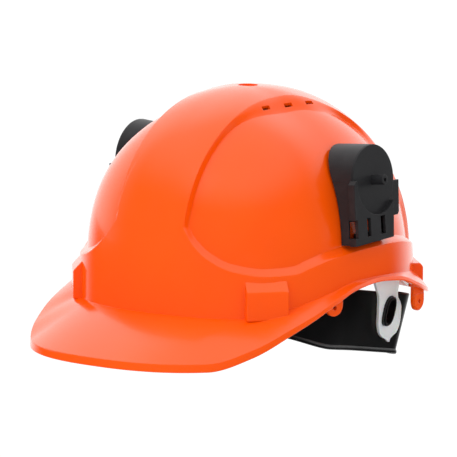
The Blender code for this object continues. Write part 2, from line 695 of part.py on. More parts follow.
def sweep_band(name, path, depth0, depth1, half_height, material):
    """Band swept along a plan path; the depths are inwards from the path."""
    verts = []
    for i, (x, y) in enumerate(path):
        before = path[max(i - 1, 0)]
        after = path[min(i + 1, len(path) - 1)]
        dx, dy = after[0] - before[0], after[1] - before[1]
        length = math.hypot(dx, dy)
        out = Vector((dy / length, -dx / length, 0))
        lean = band_lean(y)
        cos, sin = math.cos(lean), math.sin(lean)
        normal = Vector((out.x * cos, out.y * cos, -sin))
        up = Vector((out.x * sin, out.y * sin, cos))
        origin = Vector((x, y, band_z(y)))
        half = half_height(abs(x), y)
        for depth, height in ((-depth0, -half), (-depth0, half),
                              (-depth1, half), (-depth1, -half)):
            verts.append(origin + normal * depth + up * height)
    return bar(name, verts, BAND_BAR, material)


# studs through the hanger eyes
STUD_A, STUD_B = 6.0, 10.6        # half sizes along u and v
STUD_POWER = 2.6
REAR_STUD_Y, REAR_STUD_UP = 57.0, 9.4
FRONT_STUD_Z = -6.5


def stud_oval(grow_u, grow_v):
    points = []
    for i in range(20):
        t = 2 * math.pi * i / 20
        cos, sin = math.cos(t), math.sin(t)
        points.append((
            (STUD_A + grow_u) * math.copysign(abs(cos) ** (2 / STUD_POWER), cos),
            (STUD_B + grow_v) * math.copysign(abs(sin) ** (2 / STUD_POWER), sin)))
    return points


def front_tangent():
    """(n, u) of the band's front where it touches a wall facing FRONT_ANGLE."""
    sin, cos = math.sin(FRONT_ANGLE), math.cos(FRONT_ANGLE)
    touching = [(x * sin - y * cos, x * cos + y * sin) for x, y in HALF_PATH[:FRONT_STEPS + 1]]
    return max(touching, key=lambda point: point[0])


TANGENT_N, TANGENT_U = front_tangent()


def front_stud_frame(side):
    _, u, v, n = side_frame(FRONT_ANGLE, side)
    return (n * TANGENT_N + u * TANGENT_U + v * FRONT_STUD_Z, u, v, n)


def rear_stud_frame(side):
    n = Vector((side * math.cos(BAND_TAPER), 0, -math.sin(BAND_TAPER)))
    up = Vector((side * math.sin(BAND_TAPER), 0, math.cos(BAND_TAPER)))
    base = Vector((side * side_x(REAR_STUD_Y), REAR_STUD_Y, band_z(REAR_STUD_Y)))
    return (base + up * REAR_STUD_UP, EY, up, n)


STUD_FRAMES = {"front": front_stud_frame, "rear": rear_stud_frame}


def build_headband():
    band = sweep_band("headband", PATH, 0.0, BAND_T, band_half_height, "band_black")
    strap_r = STRAP_GAP + STRAP_T + STAND
    strap_h = STRAP_H / 2 + SLOT_GAP
    for _, side in SIDES:
        # sleeve at the rear end and the slot the nape straps run in
        join(band, arc_block(NAPE_R - 3.2, NAPE_R + 2.2, side * math.asin(47.0 / NAPE_R),
                             side * math.asin(61.0 / NAPE_R), -12.2, 12.2, 5))
        cut(band, arc_block(NAPE_R - strap_r, NAPE_R + strap_r, side * math.radians(12),
                            side * math.radians(26.5), -strap_h, strap_h, 12))
    for _, side in SIDES:
        for stud_frame in STUD_FRAMES.values():
            cut(band, prism(stud_oval(STAND, STAND), -BAND_T - 3, 3, stud_frame(side)))


def build_stud(name, frame):
    """Hollow oval stud with a flange inside the band."""
    stud = prism(stud_oval(0, 0), -BAND_T - 1.6, 4.8, frame, name, "band_black")
    join(stud, prism(stud_oval(1.6, 1.6), -BAND_T - 2.2, -BAND_T - 1.1, frame))
    cut(stud, prism(stud_oval(-2.0, -2.4), -BAND_T - 4, 8, frame))


# ------------------------------------------------------------ hangers
# rear hanger beside the band: z, centre u, half width
REAR_TAIL = ((-9.5, 53.0, 11.2), (-12.5, 54.4, 11.4), (-15.5, 56.4, 12.6), (-20.0, 58.6, 13.4),
             (-28.0, 60.6, 13.3), (-34.0, 62.0, 12.0), (-38.0, 62.8, 10.0), (-40.8, 63.4, 7.0))
# front hanger beside the band: n beyond the plate's resting n, z, half width
FRONT_TAIL = ((3.0, 6.6, 13.0), (.5, 5.2, 12.6), (0, 3.4, 12.6), (0, -3.0, 13.5),
              (0, -12.0, 13.3), (0, -18.0, 11.0), (0, -20.8, 7.5))
HANGER_GAP = 0.4         # band to hanger
KEY_TAPER = 1.5          # the key's tip narrows by this over its last 1.5 mm


def key_stations(n, u, z_range):
    """Tapered tip of the key, as (n, z, centre u, half width)."""
    return [(n, z_range[1] - KEY_TAPER, u, KEY_W / 2 - KEY_TAPER),
            (n, z_range[1] - 2 * KEY_TAPER, u, KEY_W / 2)]


def rear_stations():
    key = key_stations(REAR_N, REAR_U, REAR_Z)
    key += [(REAR_N, 5.4, REAR_U, KEY_W / 2), (REAR_N, 4.4, REAR_U + .3, 14.2),
            (REAR_N - .6, 2.0, REAR_U + 1.6, 14.2), (REAR_N - 2.0, -3.0, REAR_U + 4.4, 13.0)]
    off = (HANGER_GAP + HANGER_T / 2) / math.cos(BAND_TAPER)
    return key + [(BAND_A + (z - band_z(BAND_A_Y)) * math.tan(BAND_TAPER) + off, z, u, half_w)
                  for z, u, half_w in REAR_TAIL]


def front_stations():
    key = key_stations(FRONT_N, FRONT_U, FRONT_Z)
    key += [(FRONT_N, FRONT_Z[0] - 0.5, FRONT_U, KEY_W / 2),
            (FRONT_N - 1.2, FRONT_Z[0] - 2.5, FRONT_U, 13.5)]
    rest_n = TANGENT_N + HANGER_GAP + HANGER_T / 2
    return key + [(rest_n + dn, z, TANGENT_U, half_w) for dn, z, half_w in FRONT_TAIL]


def build_hanger(name, stations, frame, stud_frame):
    """Plate along a centre line of stations (n, z, centre u, half width),
    with an eye for its stud."""
    _, u, v, n = frame
    verts = []
    for i, (centre_n, z, centre_u, half_w) in enumerate(stations):
        before = stations[max(i - 1, 0)]
        after = stations[min(i + 1, len(stations) - 1)]
        along = Vector((after[0] - before[0], after[1] - before[1])).normalized()
        across = Vector((-along.y, along.x)) * (HANGER_T / 2)
        for edge in (-1, 1):
            for face in (-1, 1):
                verts.append(u * (centre_u + edge * half_w) + n * (centre_n + face * across.x)
                             + v * (z + face * across.y))
    hanger = bar(name, verts, PLATE_BAR, "hanger_clear")
    cut(hanger, prism(stud_oval(STAND, STAND), -4, 9, stud_frame))


def build_hangers(label, side):
    build_hanger("hanger_rear_" + label, rear_stations(), side_frame(REAR_ANGLE, side),
                 rear_stud_frame(side))
    build_hanger("hanger_front_" + label, front_stations(), side_frame(FRONT_ANGLE, side),
                 front_stud_frame(side))


# ------------------------------------------------------------ crown straps
CROWN_STRAP_HALF_W, CROWN_STRAP_HALF_T = 10, 0.5
CROWN_STRAP_POWER = 2.3
CROWN_STRAP_STEPS = 30
CROWN_STRAP_FRONT_Z, CROWN_STRAP_REAR_Z = 7.5, 6.0


def build_crown_strap(name, side, top):
    """Webbing arched from the front on this side to the rear on the other."""
    _, front_u, _, front_n = side_frame(FRONT_ANGLE, 1)
    front = front_n * (FRONT_N - 5.2) + front_u * FRONT_U
    start = Vector((side * front.x, front.y, 0))
    end = Vector((-side * (REAR_N - 11.2), REAR_U, 0))
    mid, half = (start + end) / 2, (end - start) / 2
    along = half.normalized()
    across = Vector((-along.y, along.x, 0)) * CROWN_STRAP_HALF_W
    line = []
    for i in range(CROWN_STRAP_STEPS + 1):
        t = -math.cos(math.pi * i / CROWN_STRAP_STEPS)
        foot_z = CROWN_STRAP_FRONT_Z + (CROWN_STRAP_REAR_Z - CROWN_STRAP_FRONT_Z) * (t + 1) / 2
        rise = (1 - abs(t) ** CROWN_STRAP_POWER) ** (1 / CROWN_STRAP_POWER)
        line.append((mid + half * t, foot_z + (top - foot_z) * rise))
    verts = []
    for i, (point, z) in enumerate(line):
        before, after = line[max(i - 1, 0)], line[min(i + 1, CROWN_STRAP_STEPS)]
        slope = Vector(((after[0] - before[0]).dot(along), after[1] - before[1])).normalized()
        thick = Vector((-slope.y, slope.x)) * CROWN_STRAP_HALF_T
        centre = Vector((point.x, point.y, z))
        for edge in (-1, 1):
            for face in (-1, 1):
                verts.append(centre + across * edge + Vector((
                    along.x * thick.x * face, along.y * thick.x * face, thick.y * face)))
    bar(name, verts, PLATE_BAR, "strap_webbing")


def build_brow_pad():
    path = [(x, y) for x, y in PATH if y < -6]
    sweep_band("brow_pad", path, BAND_T + 2.6, BAND_T + 5.8, lambda x, y: 13.0, "foam_grey")


# ------------------------------------------------------------ nape ratchet
PINION_N, PINION_R = 12, 6.0      # teeth and pitch radius: module 1
TOOTH_PITCH = 2 * math.pi * PINION_R / PINION_N
RACK_ROOT, RACK_TIP = PINION_R + 1.3, PINION_R - 1.0   # heights off the centre line
# one pinion tooth: arc length from its middle, radius beyond the pitch circle
PINION_TOOTH = ((-0.62, -1.15), (-0.5, 0.0), (-0.26, 0.8), (0.26, 0.8), (0.5, 0.0), (0.62, -1.15))
TOOTH_SPREAD = 1.12
SHAFT_R = 3.8
HUB_BORE_R = SHAFT_R + STAND
HOUSING_HALF_W, HOUSING_HALF_H = 27.0, 14.2
HOUSING_LIP = 10.9                # inner edge of the top and bottom lips
BACKPLATE_INSET = 0.3


def build_nape_strap(name, side, r0, r1):
    """Curved rack.  The left strap is driven on its upper edge, the right on
    its lower edge; angles measured towards the strap's own side."""
    strap = arc_block(r0, r1, side * math.radians(-5.4), side * math.radians(25.2),
                      -STRAP_H / 2, STRAP_H / 2, 34, name, "strap_black")
    start, end = math.radians(-3.7), math.radians(11.4)
    cut(strap, arc_block(r0 - 2, r1 + 2, side * start, side * end,
                         -side * RACK_ROOT, side * RACK_ROOT, 14))
    # teeth stand in from the driven edge of the window
    pitch = TOOTH_PITCH / NAPE_R
    teeth = []
    angle = 0.5 * pitch
    while angle < end - 0.4 * pitch:
        teeth.append(angle)
        angle += pitch
    angle = -0.5 * pitch
    while angle > start + 0.4 * pitch:
        teeth.append(angle)
        angle -= pitch
    outline = [(-0.95, side * (RACK_ROOT + 0.6)), (0.95, side * (RACK_ROOT + 0.6)),
               (0.3, side * RACK_TIP), (-0.3, side * RACK_TIP)]
    half_t = (r1 - r0) / 2
    for angle in sorted(teeth):
        cos, sin = math.cos(side * angle), math.sin(side * angle)
        frame = (nape_point((r0 + r1) / 2, side * angle, 0), EX * cos - NAPE_N * sin,
                 NAPE_UP, NAPE_N * cos + EX * sin)
        join(strap, prism(outline, -half_t, half_t, frame))


def build_pinion():
    outline = []
    for i in range(PINION_N):
        middle = math.pi / 2 + 2 * math.pi * i / PINION_N
        for arc, rise in PINION_TOOTH:
            radius = PINION_R + rise
            angle = middle + arc / PINION_R * TOOTH_SPREAD
            outline.append((radius * math.cos(angle), radius * math.sin(angle)))
    pinion = prism(outline, -1.45, 1.45, NAPE_FRAME, "ratchet_pinion", "strap_black")
    join(pinion, prism(circle(SHAFT_R, 16), 1.2, 15.0, NAPE_FRAME))


def build_housing():
    """Plate with top and bottom lips and a drum with an internal tooth ring."""
    half_w, half_h = HOUSING_HALF_W, HOUSING_HALF_H
    housing = box((-half_w, -half_h, 1.9), (half_w, half_h, 4.1), NAPE_FRAME,
                  "ratchet_housing", "band_black")
    for low, high in ((HOUSING_LIP, half_h), (-half_h, -HOUSING_LIP)):
        join(housing, box((-half_w, low, -1.5), (half_w, high, 2.5), NAPE_FRAME))
    join(housing, prism(circle(16.0, 32), 3.0, 9.4, NAPE_FRAME))
    ring = []
    for i in range(20):
        angle = 2 * math.pi * i / 20
        ring.append((12.9 * math.cos(angle), 12.9 * math.sin(angle)))
        ring.append((13.9 * math.cos(angle + .27), 13.9 * math.sin(angle + .27)))
    cut(housing, prism(ring, 4.1, 12.0, NAPE_FRAME))
    cut(housing, prism(circle(4.3, 16), 0.0, 8.0, NAPE_FRAME))


def build_pawl():
    """Disc with two opposite arms."""
    outline = []
    for i in range(48):
        angle = 2 * math.pi * i / 48
        radius = 12.2 if i % 24 in (0, 1, 2) else 9.0
        outline.append((radius * math.cos(angle), radius * math.sin(angle)))
    pawl = prism(outline, 4.7, 6.9, NAPE_FRAME, "ratchet_pawl", "pawl_grey")
    cut(pawl, prism(circle(HUB_BORE_R, 16), 3.0, 8.0, NAPE_FRAME))


def build_knob():
    """Twelve-lobed knob with a hub and a blind bore."""
    outline = []
    for i in range(72):
        angle = 2 * math.pi * i / 72
        radius = 17.6 + 0.9 * math.cos(12 * angle)
        outline.append((radius * math.cos(angle), radius * math.sin(angle)))
    knob = prism(outline, 9.8, 19.0, NAPE_FRAME, "ratchet_knob", "band_black")
    join(knob, prism(circle(7.0, 20), 7.3, 10.5, NAPE_FRAME))
    cut(knob, prism(circle(HUB_BORE_R, 16), 6.0, 15.4, NAPE_FRAME))


def build_backplate_and_pad():
    angle = math.asin((HOUSING_HALF_W - BACKPLATE_INSET) / NAPE_R)
    half_h = HOUSING_HALF_H - BACKPLATE_INSET
    arc_block(NAPE_R - 3.4, NAPE_R - 1.8, -angle, angle, -half_h, half_h, 8,
              "ratchet_backplate", "band_black")
    arc_block(NAPE_R - 9.2, NAPE_R - 3.8, math.radians(-12.5), math.radians(12.5),
              -13.5, 13.5, 10, "nape_pad", "foam_grey")


# ------------------------------------------------------------ to metres
RATCHET_PIVOT = nape_point(NAPE_R, 0, 0)
PIVOTS = {
    "ratchet_knob": RATCHET_PIVOT,
    "ratchet_pinion": RATCHET_PIVOT,
    "ratchet_pawl": RATCHET_PIVOT,
    "nape_strap_left": NAPE_C,
    "nape_strap_right": NAPE_C,
    "carrier_left": Vector(CARRIER_C),
    "carrier_right": Vector((-CARRIER_C[0], CARRIER_C[1], CARRIER_C[2])),
}


def place(item):
    """Set the origin on the piece's pivot and scale to metres."""
    triangulate(item)
    pivot = PIVOTS.get(item.name, Vector((0, 0, 0)))
    item.data.transform(Matrix.Translation(-pivot))
    item.data.transform(Matrix.Scale(MM, 4))
    item.location = (pivot + SHIFT) * MM


# ------------------------------------------------------------ build
build_shell()
for side_name, side_sign in SIDES:
    build_carrier("carrier_" + side_name, side_sign)
build_headband()
for side_name, side_sign in SIDES:
    for end_name, frame_of in STUD_FRAMES.items():
        build_stud("stud_%s_%s" % (end_name, side_name), frame_of(side_sign))
    build_hangers(side_name, side_sign)
build_crown_strap("crown_strap_upper", 1, 98.2)
build_crown_strap("crown_strap_lower", -1, 94.4)
build_brow_pad()
build_nape_strap("nape_strap_left", 1, NAPE_R + STRAP_GAP, NAPE_R + STRAP_GAP + STRAP_T)
build_nape_strap("nape_strap_right", -1, NAPE_R - STRAP_GAP - STRAP_T, NAPE_R - STRAP_GAP)
build_pinion()
build_housing()
build_pawl()
build_knob()
build_backplate_and_pad()
for piece in bpy.data.objects:
    place(piece)
bpy.context.view_layer.update()
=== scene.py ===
# Safety helmet: an orange shell with a peak, a dark carrier on each side, and inside it a headband
# on four hangers, two crossed crown straps, a brow pad, a nape pad and a ratchet with its knob.
# Everything is modelled in millimetres in the moulding frame: front -Y, wearer's left +X,
# z = 0 at the base of the dome. finish_piece() moves it to the row frame in metres.
import math
import bmesh
import bpy
import numpy as np
from mathutils import Matrix, Vector


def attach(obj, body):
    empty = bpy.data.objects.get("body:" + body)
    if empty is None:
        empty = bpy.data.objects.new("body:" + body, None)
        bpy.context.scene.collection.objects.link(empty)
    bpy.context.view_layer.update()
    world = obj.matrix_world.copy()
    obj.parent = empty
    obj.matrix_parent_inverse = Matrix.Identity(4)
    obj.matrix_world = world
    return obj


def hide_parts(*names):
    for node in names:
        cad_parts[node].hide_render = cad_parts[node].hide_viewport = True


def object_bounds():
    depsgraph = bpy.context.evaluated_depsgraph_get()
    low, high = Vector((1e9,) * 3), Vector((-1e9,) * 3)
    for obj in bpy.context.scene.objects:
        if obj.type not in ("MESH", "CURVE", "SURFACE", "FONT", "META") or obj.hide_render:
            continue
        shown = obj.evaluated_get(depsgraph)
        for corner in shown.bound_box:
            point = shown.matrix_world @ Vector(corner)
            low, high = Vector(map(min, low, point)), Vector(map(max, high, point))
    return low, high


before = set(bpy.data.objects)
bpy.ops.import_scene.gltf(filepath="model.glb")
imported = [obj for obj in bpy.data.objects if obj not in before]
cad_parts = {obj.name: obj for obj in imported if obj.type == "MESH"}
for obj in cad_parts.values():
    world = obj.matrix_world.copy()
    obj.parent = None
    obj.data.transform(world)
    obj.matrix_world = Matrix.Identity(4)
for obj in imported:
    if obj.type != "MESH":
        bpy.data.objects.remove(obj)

CAD_BOX = [list(map(float, c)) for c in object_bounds()]
MM = 0.001
EX = Vector((1, 0, 0))
EY = Vector((0, 1, 0))
EZ = Vector((0, 0, 1))
ORIGIN = Vector((0, 0, 0))
# A set of axes is (origin, across, up, out).
MAIN_AXES = (ORIGIN, EX, EY, EZ)
SIDES = (("left", 1), ("right", -1))
FIT_GAP = 0.35                         # around tongues, keys and straps in their slots

# ---------------------------------------------------------------- main sizes (mm)
SHIFT = Vector((0.0, 8.2, 60.03))      # moulding frame -> row frame
DOME_HALF_W, DOME_FRONT, DOME_REAR, DOME_H = 103.0, 118.7, 124.4, 132.9
DOME_YC, DOME_YC_TOP = 10.1, 4.3       # y of the plan centre at base and crown
# powers of the dome's curves, (rear, front)
PLAN_POW, SHRINK_POW, HEIGHT_POW = (2.165, 2.41), (0.90, 1.145), (0.89, 0.70)
LATITUDE_POW = 0.872                   # spacing of the rings over the crown
WALL, PANEL_D, LEDGE_W, CROWN_X = 2.6, 4.4, 5.0, 28.5
PEAK, PEAK_SPREAD, GUTTER = 52.0, 45.0, 9.5
# heights round the shell: (degrees from the front, z)
RIM_LOW = ((0, -39), (30, -38.3), (40, -30.8), (51, -18.8), (61, -9.8), (70, -2),
           (80, 4.2), (92, 6.2), (104, 4), (114, -3), (122, -9), (132, -13.5),
           (145, -17), (180, -19))
RIM_ROOT = ((0, -9), (42, -9.5), (50, -6), (60, -1), (70, 4.5), (82, 9.5),
            (92, 9.5), (104, 8.5), (114, 6.5), (122, 4.5), (132, 1), (145, -4.5),
            (180, -8))
LEDGE = ((0, 58), (10, 56), (16, 50), (20, 40), (26, 30), (35, 22), (47, 18.5),
         (56, 19), (63, 23), (72, 27), (85, 29.5), (98, 30), (110, 28.5),
         (120, 25), (130, 21), (143, 16), (155, 14), (180, 14))
# hanger keys: distance out, place across, z range; the rear pair faces straight sideways
KEY_W, KEY_T = 21.0, 2.0
REAR_OUT, REAR_ACROSS, REAR_Z = 90.9, 44.5, (6.0, 16.5)
FRONT_OUT, FRONT_ACROSS, FRONT_Z = 101.4, -8.0, (8.0, 19.0)
FRONT_TURN = math.radians(50)          # from straight ahead
BAND_A, BAND_YC, BAND_F, BAND_Y, BAND_T = 80.0, 12.0, 107.0, 78.5, 2.0
BAND_SLOPE, BAND_TAPER = 0.18, math.radians(13.0)
# leaning frame of the nape: its arc of radius NAPE_R passes through NAPE_O
NAPE_R, NAPE_O = 160.0, Vector((0.0, 100.5, -37.75))
NAPE_OUT = Vector((0, math.cos(BAND_TAPER), -math.sin(BAND_TAPER)))
NAPE_UP = Vector((0, math.sin(BAND_TAPER), math.cos(BAND_TAPER)))
NAPE_C = NAPE_O - NAPE_OUT * NAPE_R
NAPE_AXES = (NAPE_O, EX, NAPE_UP, NAPE_OUT)

# camera: TO_CAMERA points from the helmet to the lens
CAM_TURN, CAM_RISE, CAM_ROLL = math.radians(36.36), math.radians(9.40), math.radians(-0.45)
CAM_DIST, CAM_LENS = 4.0, 459.47659    # m, mm
AIM_RIGHT, AIM_UP = -7.54355, 33.87738  # mm from the moulding origin, in the view
TO_CAMERA = Vector((math.sin(CAM_TURN) * math.cos(CAM_RISE),
                    -math.cos(CAM_TURN) * math.cos(CAM_RISE), math.sin(CAM_RISE)))
RIGHT = Vector((math.cos(CAM_TURN), math.sin(CAM_TURN), 0))
UP = TO_CAMERA.cross(RIGHT)


# ---------------------------------------------------------------- curves and the dome
def curve(table, x):
    """Monotone cubic through (x, value) rows, level at both ends."""
    xs = np.array([row[0] for row in table], float)
    ys = np.array([row[1] for row in table], float)
    step = np.diff(xs)
    rise = np.diff(ys) / step
    slope = np.zeros(len(xs))
    for i in range(1, len(xs) - 1):
        if rise[i - 1] * rise[i] > 0:
            before = 2 * step[i] + step[i - 1]
            after = step[i] + 2 * step[i - 1]
            slope[i] = (before + after) / (before / rise[i - 1] + after / rise[i])
    x = np.clip(x, xs[0], xs[-1])
    k = np.clip(np.searchsorted(xs, x, side='right') - 1, 0, len(xs) - 2)
    t = (x - xs[k]) / step[k]
    return (ys[k] * (1 + 2 * t) * (1 - t) ** 2 + step[k] * slope[k] * t * (1 - t) ** 2
            + ys[k + 1] * t * t * (3 - 2 * t) + step[k] * slope[k + 1] * t * t * (t - 1))


def smoothstep(t):
    t = np.clip(t, 0.0, 1.0)
    return t * t * (3 - 2 * t)


def off_front(azim):
    """Degrees from the front, 0 to 180, the same on both sides."""
    return np.degrees(np.abs((azim + math.pi) % (2 * math.pi) - math.pi))


def dome(azim, z):
    """Points of the plain dome; azim is 0 at the front, pi / 2 on the wearer's left."""
    azim = np.asarray(azim, float)
    z = np.asarray(z, float) + 0 * azim
    sin, cos = np.sin(azim), np.cos(azim)
    front = smoothstep(0.5 + cos / 0.9)
    plan, shrink, height = (pair[0] + (pair[1] - pair[0]) * front
                            for pair in (PLAN_POW, SHRINK_POW, HEIGHT_POW))
    frac = np.clip(z, 0, DOME_H) / DOME_H
    scale = (1 - np.minimum(frac ** (2 / height), 1)) ** (shrink / 2)
    radius = (np.abs(sin) ** plan + np.abs(cos) ** plan) ** (-1 / plan)
    length = np.where(cos > 0, DOME_FRONT, DOME_REAR)
    y_mid = DOME_YC + (DOME_YC_TOP - DOME_YC) * frac ** 2.5
    return np.stack([DOME_HALF_W * radius * sin * scale,
                     -length * radius * cos * scale + y_mid, z], -1)


def latitude_z(frac):
    """Height at a fraction of the way from base to crown."""
    return DOME_H * np.sin(frac * math.pi / 2) ** LATITUDE_POW


def latitude_of(z):
    return np.arcsin((np.clip(z, 0, DOME_H) / DOME_H) ** (1 / LATITUDE_POW)) * 2 / math.pi


def dome_normal(azim, z):
    turn, rise = 1e-4, 0.01
    round_it = dome(azim + turn, z) - dome(azim - turn, z)
    z_safe = np.clip(z, 0.5, DOME_H - 0.02)
    up_it = dome(azim, z_safe + rise) - dome(azim, z_safe - rise)
    up_it = np.where((np.asarray(z) < 0.5)[..., None], np.array([0, 0, 1.0]), up_it)
    normal = np.cross(round_it, up_it)
    return normal / (np.linalg.norm(normal, axis=-1, keepdims=True) + 1e-12)


def crease(y):
    """Where the crown ridge ends in |x|, and the width of the slope down to the panel."""
    start = CROWN_X + 0.364 * 8 * np.log1p(np.exp((y - 8) / 8))
    width = 1.6 + 10.0 * smoothstep((y + 62) / 62) * (1 - smoothstep((y - 22) / 38))
    return start, width


def panel_depth(azim, point):
    """How far the side panel is sunk here, as a share of PANEL_D."""
    x, y, z = np.abs(point[..., 0]), point[..., 1], point[..., 2]
    start, width = crease(y)
    width = width * (1 + 5 * smoothstep((y - 55) / 25) * smoothstep((115 - z) / 28))
    inward = (x - start) / width
    upward = (z - curve(LEDGE, off_front(azim))) / LEDGE_W
    blend = 0.35                       # rounds the corner where the two slopes meet
    mix = np.clip(0.5 + 0.5 * (upward - inward) / blend, 0, 1)
    t = upward * (1 - mix) + inward * mix - blend * mix * (1 - mix)
    t = np.clip(t, 0, 1)
    t = 0.5 * t + 0.5 * smoothstep(t)
    # the rear of the crown ridge fades into the panels
    drop = (0.29 * smoothstep((y - 5) / 45) * smoothstep((x / start - 0.3) / 0.65)
            * smoothstep((z - 45) / 40))
    t = t + drop * (1 - t)
    return t * (1 + 0.4 * np.exp(-((off_front(azim) - 80) / 26) ** 2))


def skin(azim, z, off=0.0):
    """Points of the shell's surface with its panels, moved out by off."""
    point = dome(azim, z)
    return point + dome_normal(azim, z) * (off - PANEL_D * panel_depth(azim, point))[..., None]


def rim_reach(azim):
    """How far peak and gutter stand out from the dome."""
    angle = off_front(azim)
    return PEAK / (1 + (angle / PEAK_SPREAD) ** 4) + GUTTER * smoothstep((angle - 90) / 35)


def rim_ring(azim, z, reach):
    base = dome(azim, 0 * azim)
    turn = 1e-3
    tangent = dome(azim + turn, 0 * azim) - dome(azim - turn, 0 * azim)
    out = np.stack([tangent[:, 1], -tangent[:, 0]], -1)
    out /= np.linalg.norm(out, axis=1, keepdims=True)
    return np.stack([base[:, 0] + out[:, 0] * reach, base[:, 1] + out[:, 1] * reach, z], -1)


def nape_point(radius, angle, height):
    return (NAPE_C + EX * (radius * math.sin(angle)) + NAPE_OUT * (radius * math.cos(angle))
            + NAPE_UP * height)


def side_axes(turn, sign):
    """Upright axes facing out, turned from the front to the left (sign 1) or right (-1)."""
    out = Vector((sign * math.sin(turn), -math.cos(turn), 0))
    across = Vector((sign * math.cos(turn), math.sin(turn), 0))
    return (ORIGIN, across, EZ, out)


# ---------------------------------------------------------------- bodies
def add_object(name, mesh):
    obj = bpy.data.objects.new(name, mesh)
    bpy.context.collection.objects.link(obj)
    return obj


def mesh_obj(verts, faces, name="tool"):
    """Closed body with merged points and outward normals."""
    mesh = bpy.data.meshes.new(name)
    mesh.from_pydata([tuple(v) for v in verts], [], faces)
    bm = bmesh.new()
    bm.from_mesh(mesh)
    bmesh.ops.remove_doubles(bm, verts=bm.verts, dist=1e-4)
    bmesh.ops.dissolve_degenerate(bm, dist=1e-5, edges=bm.edges)
    bmesh.ops.recalc_face_normals(bm, faces=bm.faces)
    if bm.calc_volume(signed=True) < 0:
        bmesh.ops.reverse_faces(bm, faces=bm.faces)
    bm.to_mesh(mesh)
    bm.free()
    return add_object(name, mesh)


def joined(objs, name="tool"):
    """One mesh from several closed bodies."""
    bm = bmesh.new()
    for obj in objs:
        bm.from_mesh(obj.data)
        bpy.data.objects.remove(obj, do_unlink=True)
    mesh = bpy.data.meshes.new(name)
    bm.to_mesh(mesh)
    bm.free()
    return add_object(name, mesh)


def triangulate(obj):
    bm = bmesh.new()
    bm.from_mesh(obj.data)
    bmesh.ops.triangulate(bm, faces=bm.faces)
    bmesh.ops.dissolve_degenerate(bm, dist=1e-3, edges=bm.edges)
    bm.to_mesh(obj.data)
    bm.free()


def boolean(obj, tool, operation='DIFFERENCE'):
    """Apply the tool to the body and remove the tool."""
    triangulate(obj)
    triangulate(tool)
    mod = obj.modifiers.new("b", 'BOOLEAN')
    mod.operation, mod.solver, mod.object = operation, 'EXACT', tool
    depsgraph = bpy.context.evaluated_depsgraph_get()
    depsgraph.update()
    mesh = bpy.data.meshes.new_from_object(obj.evaluated_get(depsgraph))
    obj.modifiers.clear()
    old = obj.data
    obj.data = mesh
    bpy.data.meshes.remove(old)
    bpy.data.objects.remove(tool, do_unlink=True)


def unite(obj, tool):
    boolean(obj, tool, 'UNION')


def bevel(obj, width, segments=2, angle=25.0):
    """Round the edges sharper than angle (degrees)."""
    bm = bmesh.new()
    bm.from_mesh(obj.data)
    edges = [e for e in bm.edges
             if len(e.link_faces) == 2 and e.calc_face_angle(0) > math.radians(angle)]
    bmesh.ops.bevel(bm, geom=edges, offset=width, segments=segments, profile=0.5,
                    affect='EDGES', clamp_overlap=True)
    bm.to_mesh(obj.data)
    bm.free()
    return obj


def prism(points, out0, out1, axes, name="tool"):
    """(across, up) outline pushed from out0 to out1."""
    origin, across, up, out = axes
    k = len(points)
    verts = [origin + across * p[0] + up * p[1] + out * d for d in (out0, out1) for p in points]
    faces = [tuple(range(k - 1, -1, -1)), tuple(range(k, 2 * k))]
    faces += [(i, (i + 1) % k, k + (i + 1) % k, k + i) for i in range(k)]
    return mesh_obj(verts, faces, name)


def box(low, high, axes=MAIN_AXES):
    corners = [(low[0], low[1]), (high[0], low[1]), (high[0], high[1]), (low[0], high[1])]
    return prism(corners, low[2], high[2], axes)


def profile_block(profile, across0, across1, axes):
    """(out, up) profile pushed sideways."""
    _, across, up, out = axes
    m = len(profile)
    verts = [across * u + out * p[0] + up * p[1] for u in (across0, across1) for p in profile]
    faces = [tuple(range(m)), tuple(range(2 * m - 1, m - 1, -1))]
    faces += [(i, m + i, m + (i + 1) % m, (i + 1) % m) for i in range(m)]
    return mesh_obj(verts, faces)


def circle(radius, count, x_mid=0.0, y_mid=0.0):
    return [(x_mid + radius * math.cos(2 * math.pi * i / count),
             y_mid + radius * math.sin(2 * math.pi * i / count)) for i in range(count)]


def oval(half_w, half_h, count):
    """Superellipse outline."""
    power, out = 2.6, []
    for i in range(count):
        t = 2 * math.pi * i / count
        cos, sin = math.cos(t), math.sin(t)
        out.append((half_w * math.copysign(abs(cos) ** (2 / power), cos),
                    half_h * math.copysign(abs(sin) ** (2 / power), sin)))
    return out


def round_rect(half_w, half_h, radius, steps):
    """Rounded rectangle outline about the origin."""
    x, y = half_w - radius, half_h - radius
    out = []
    for x_mid, y_mid, start in ((x, y, 0), (-x, y, 90), (-x, -y, 180), (x, -y, 270)):
        for i in range(steps + 1):
            a = math.radians(start + 90 * i / steps)
            out.append((x_mid + radius * math.cos(a), y_mid + radius * math.sin(a)))
    return out


def arc_block(radius0, radius1, angle0, angle1, half_h, count):
    """Block curved along the nape arc."""
    verts, faces = [], []
    for i in range(count + 1):
        a = angle0 + (angle1 - angle0) * i / count
        for r, h in ((radius0, -half_h), (radius1, -half_h), (radius1, half_h), (radius0, half_h)):
            verts.append(nape_point(r, a, h))
    for i in range(count):
        b, c = 4 * i, 4 * i + 4
        for k in range(4):
            m = (k + 1) % 4
            faces.append((b + k, b + m, c + m, c + k))
    faces.append((3, 2, 1, 0))
    faces.append(tuple(4 * count + k for k in range(4)))
    return mesh_obj(verts, faces)


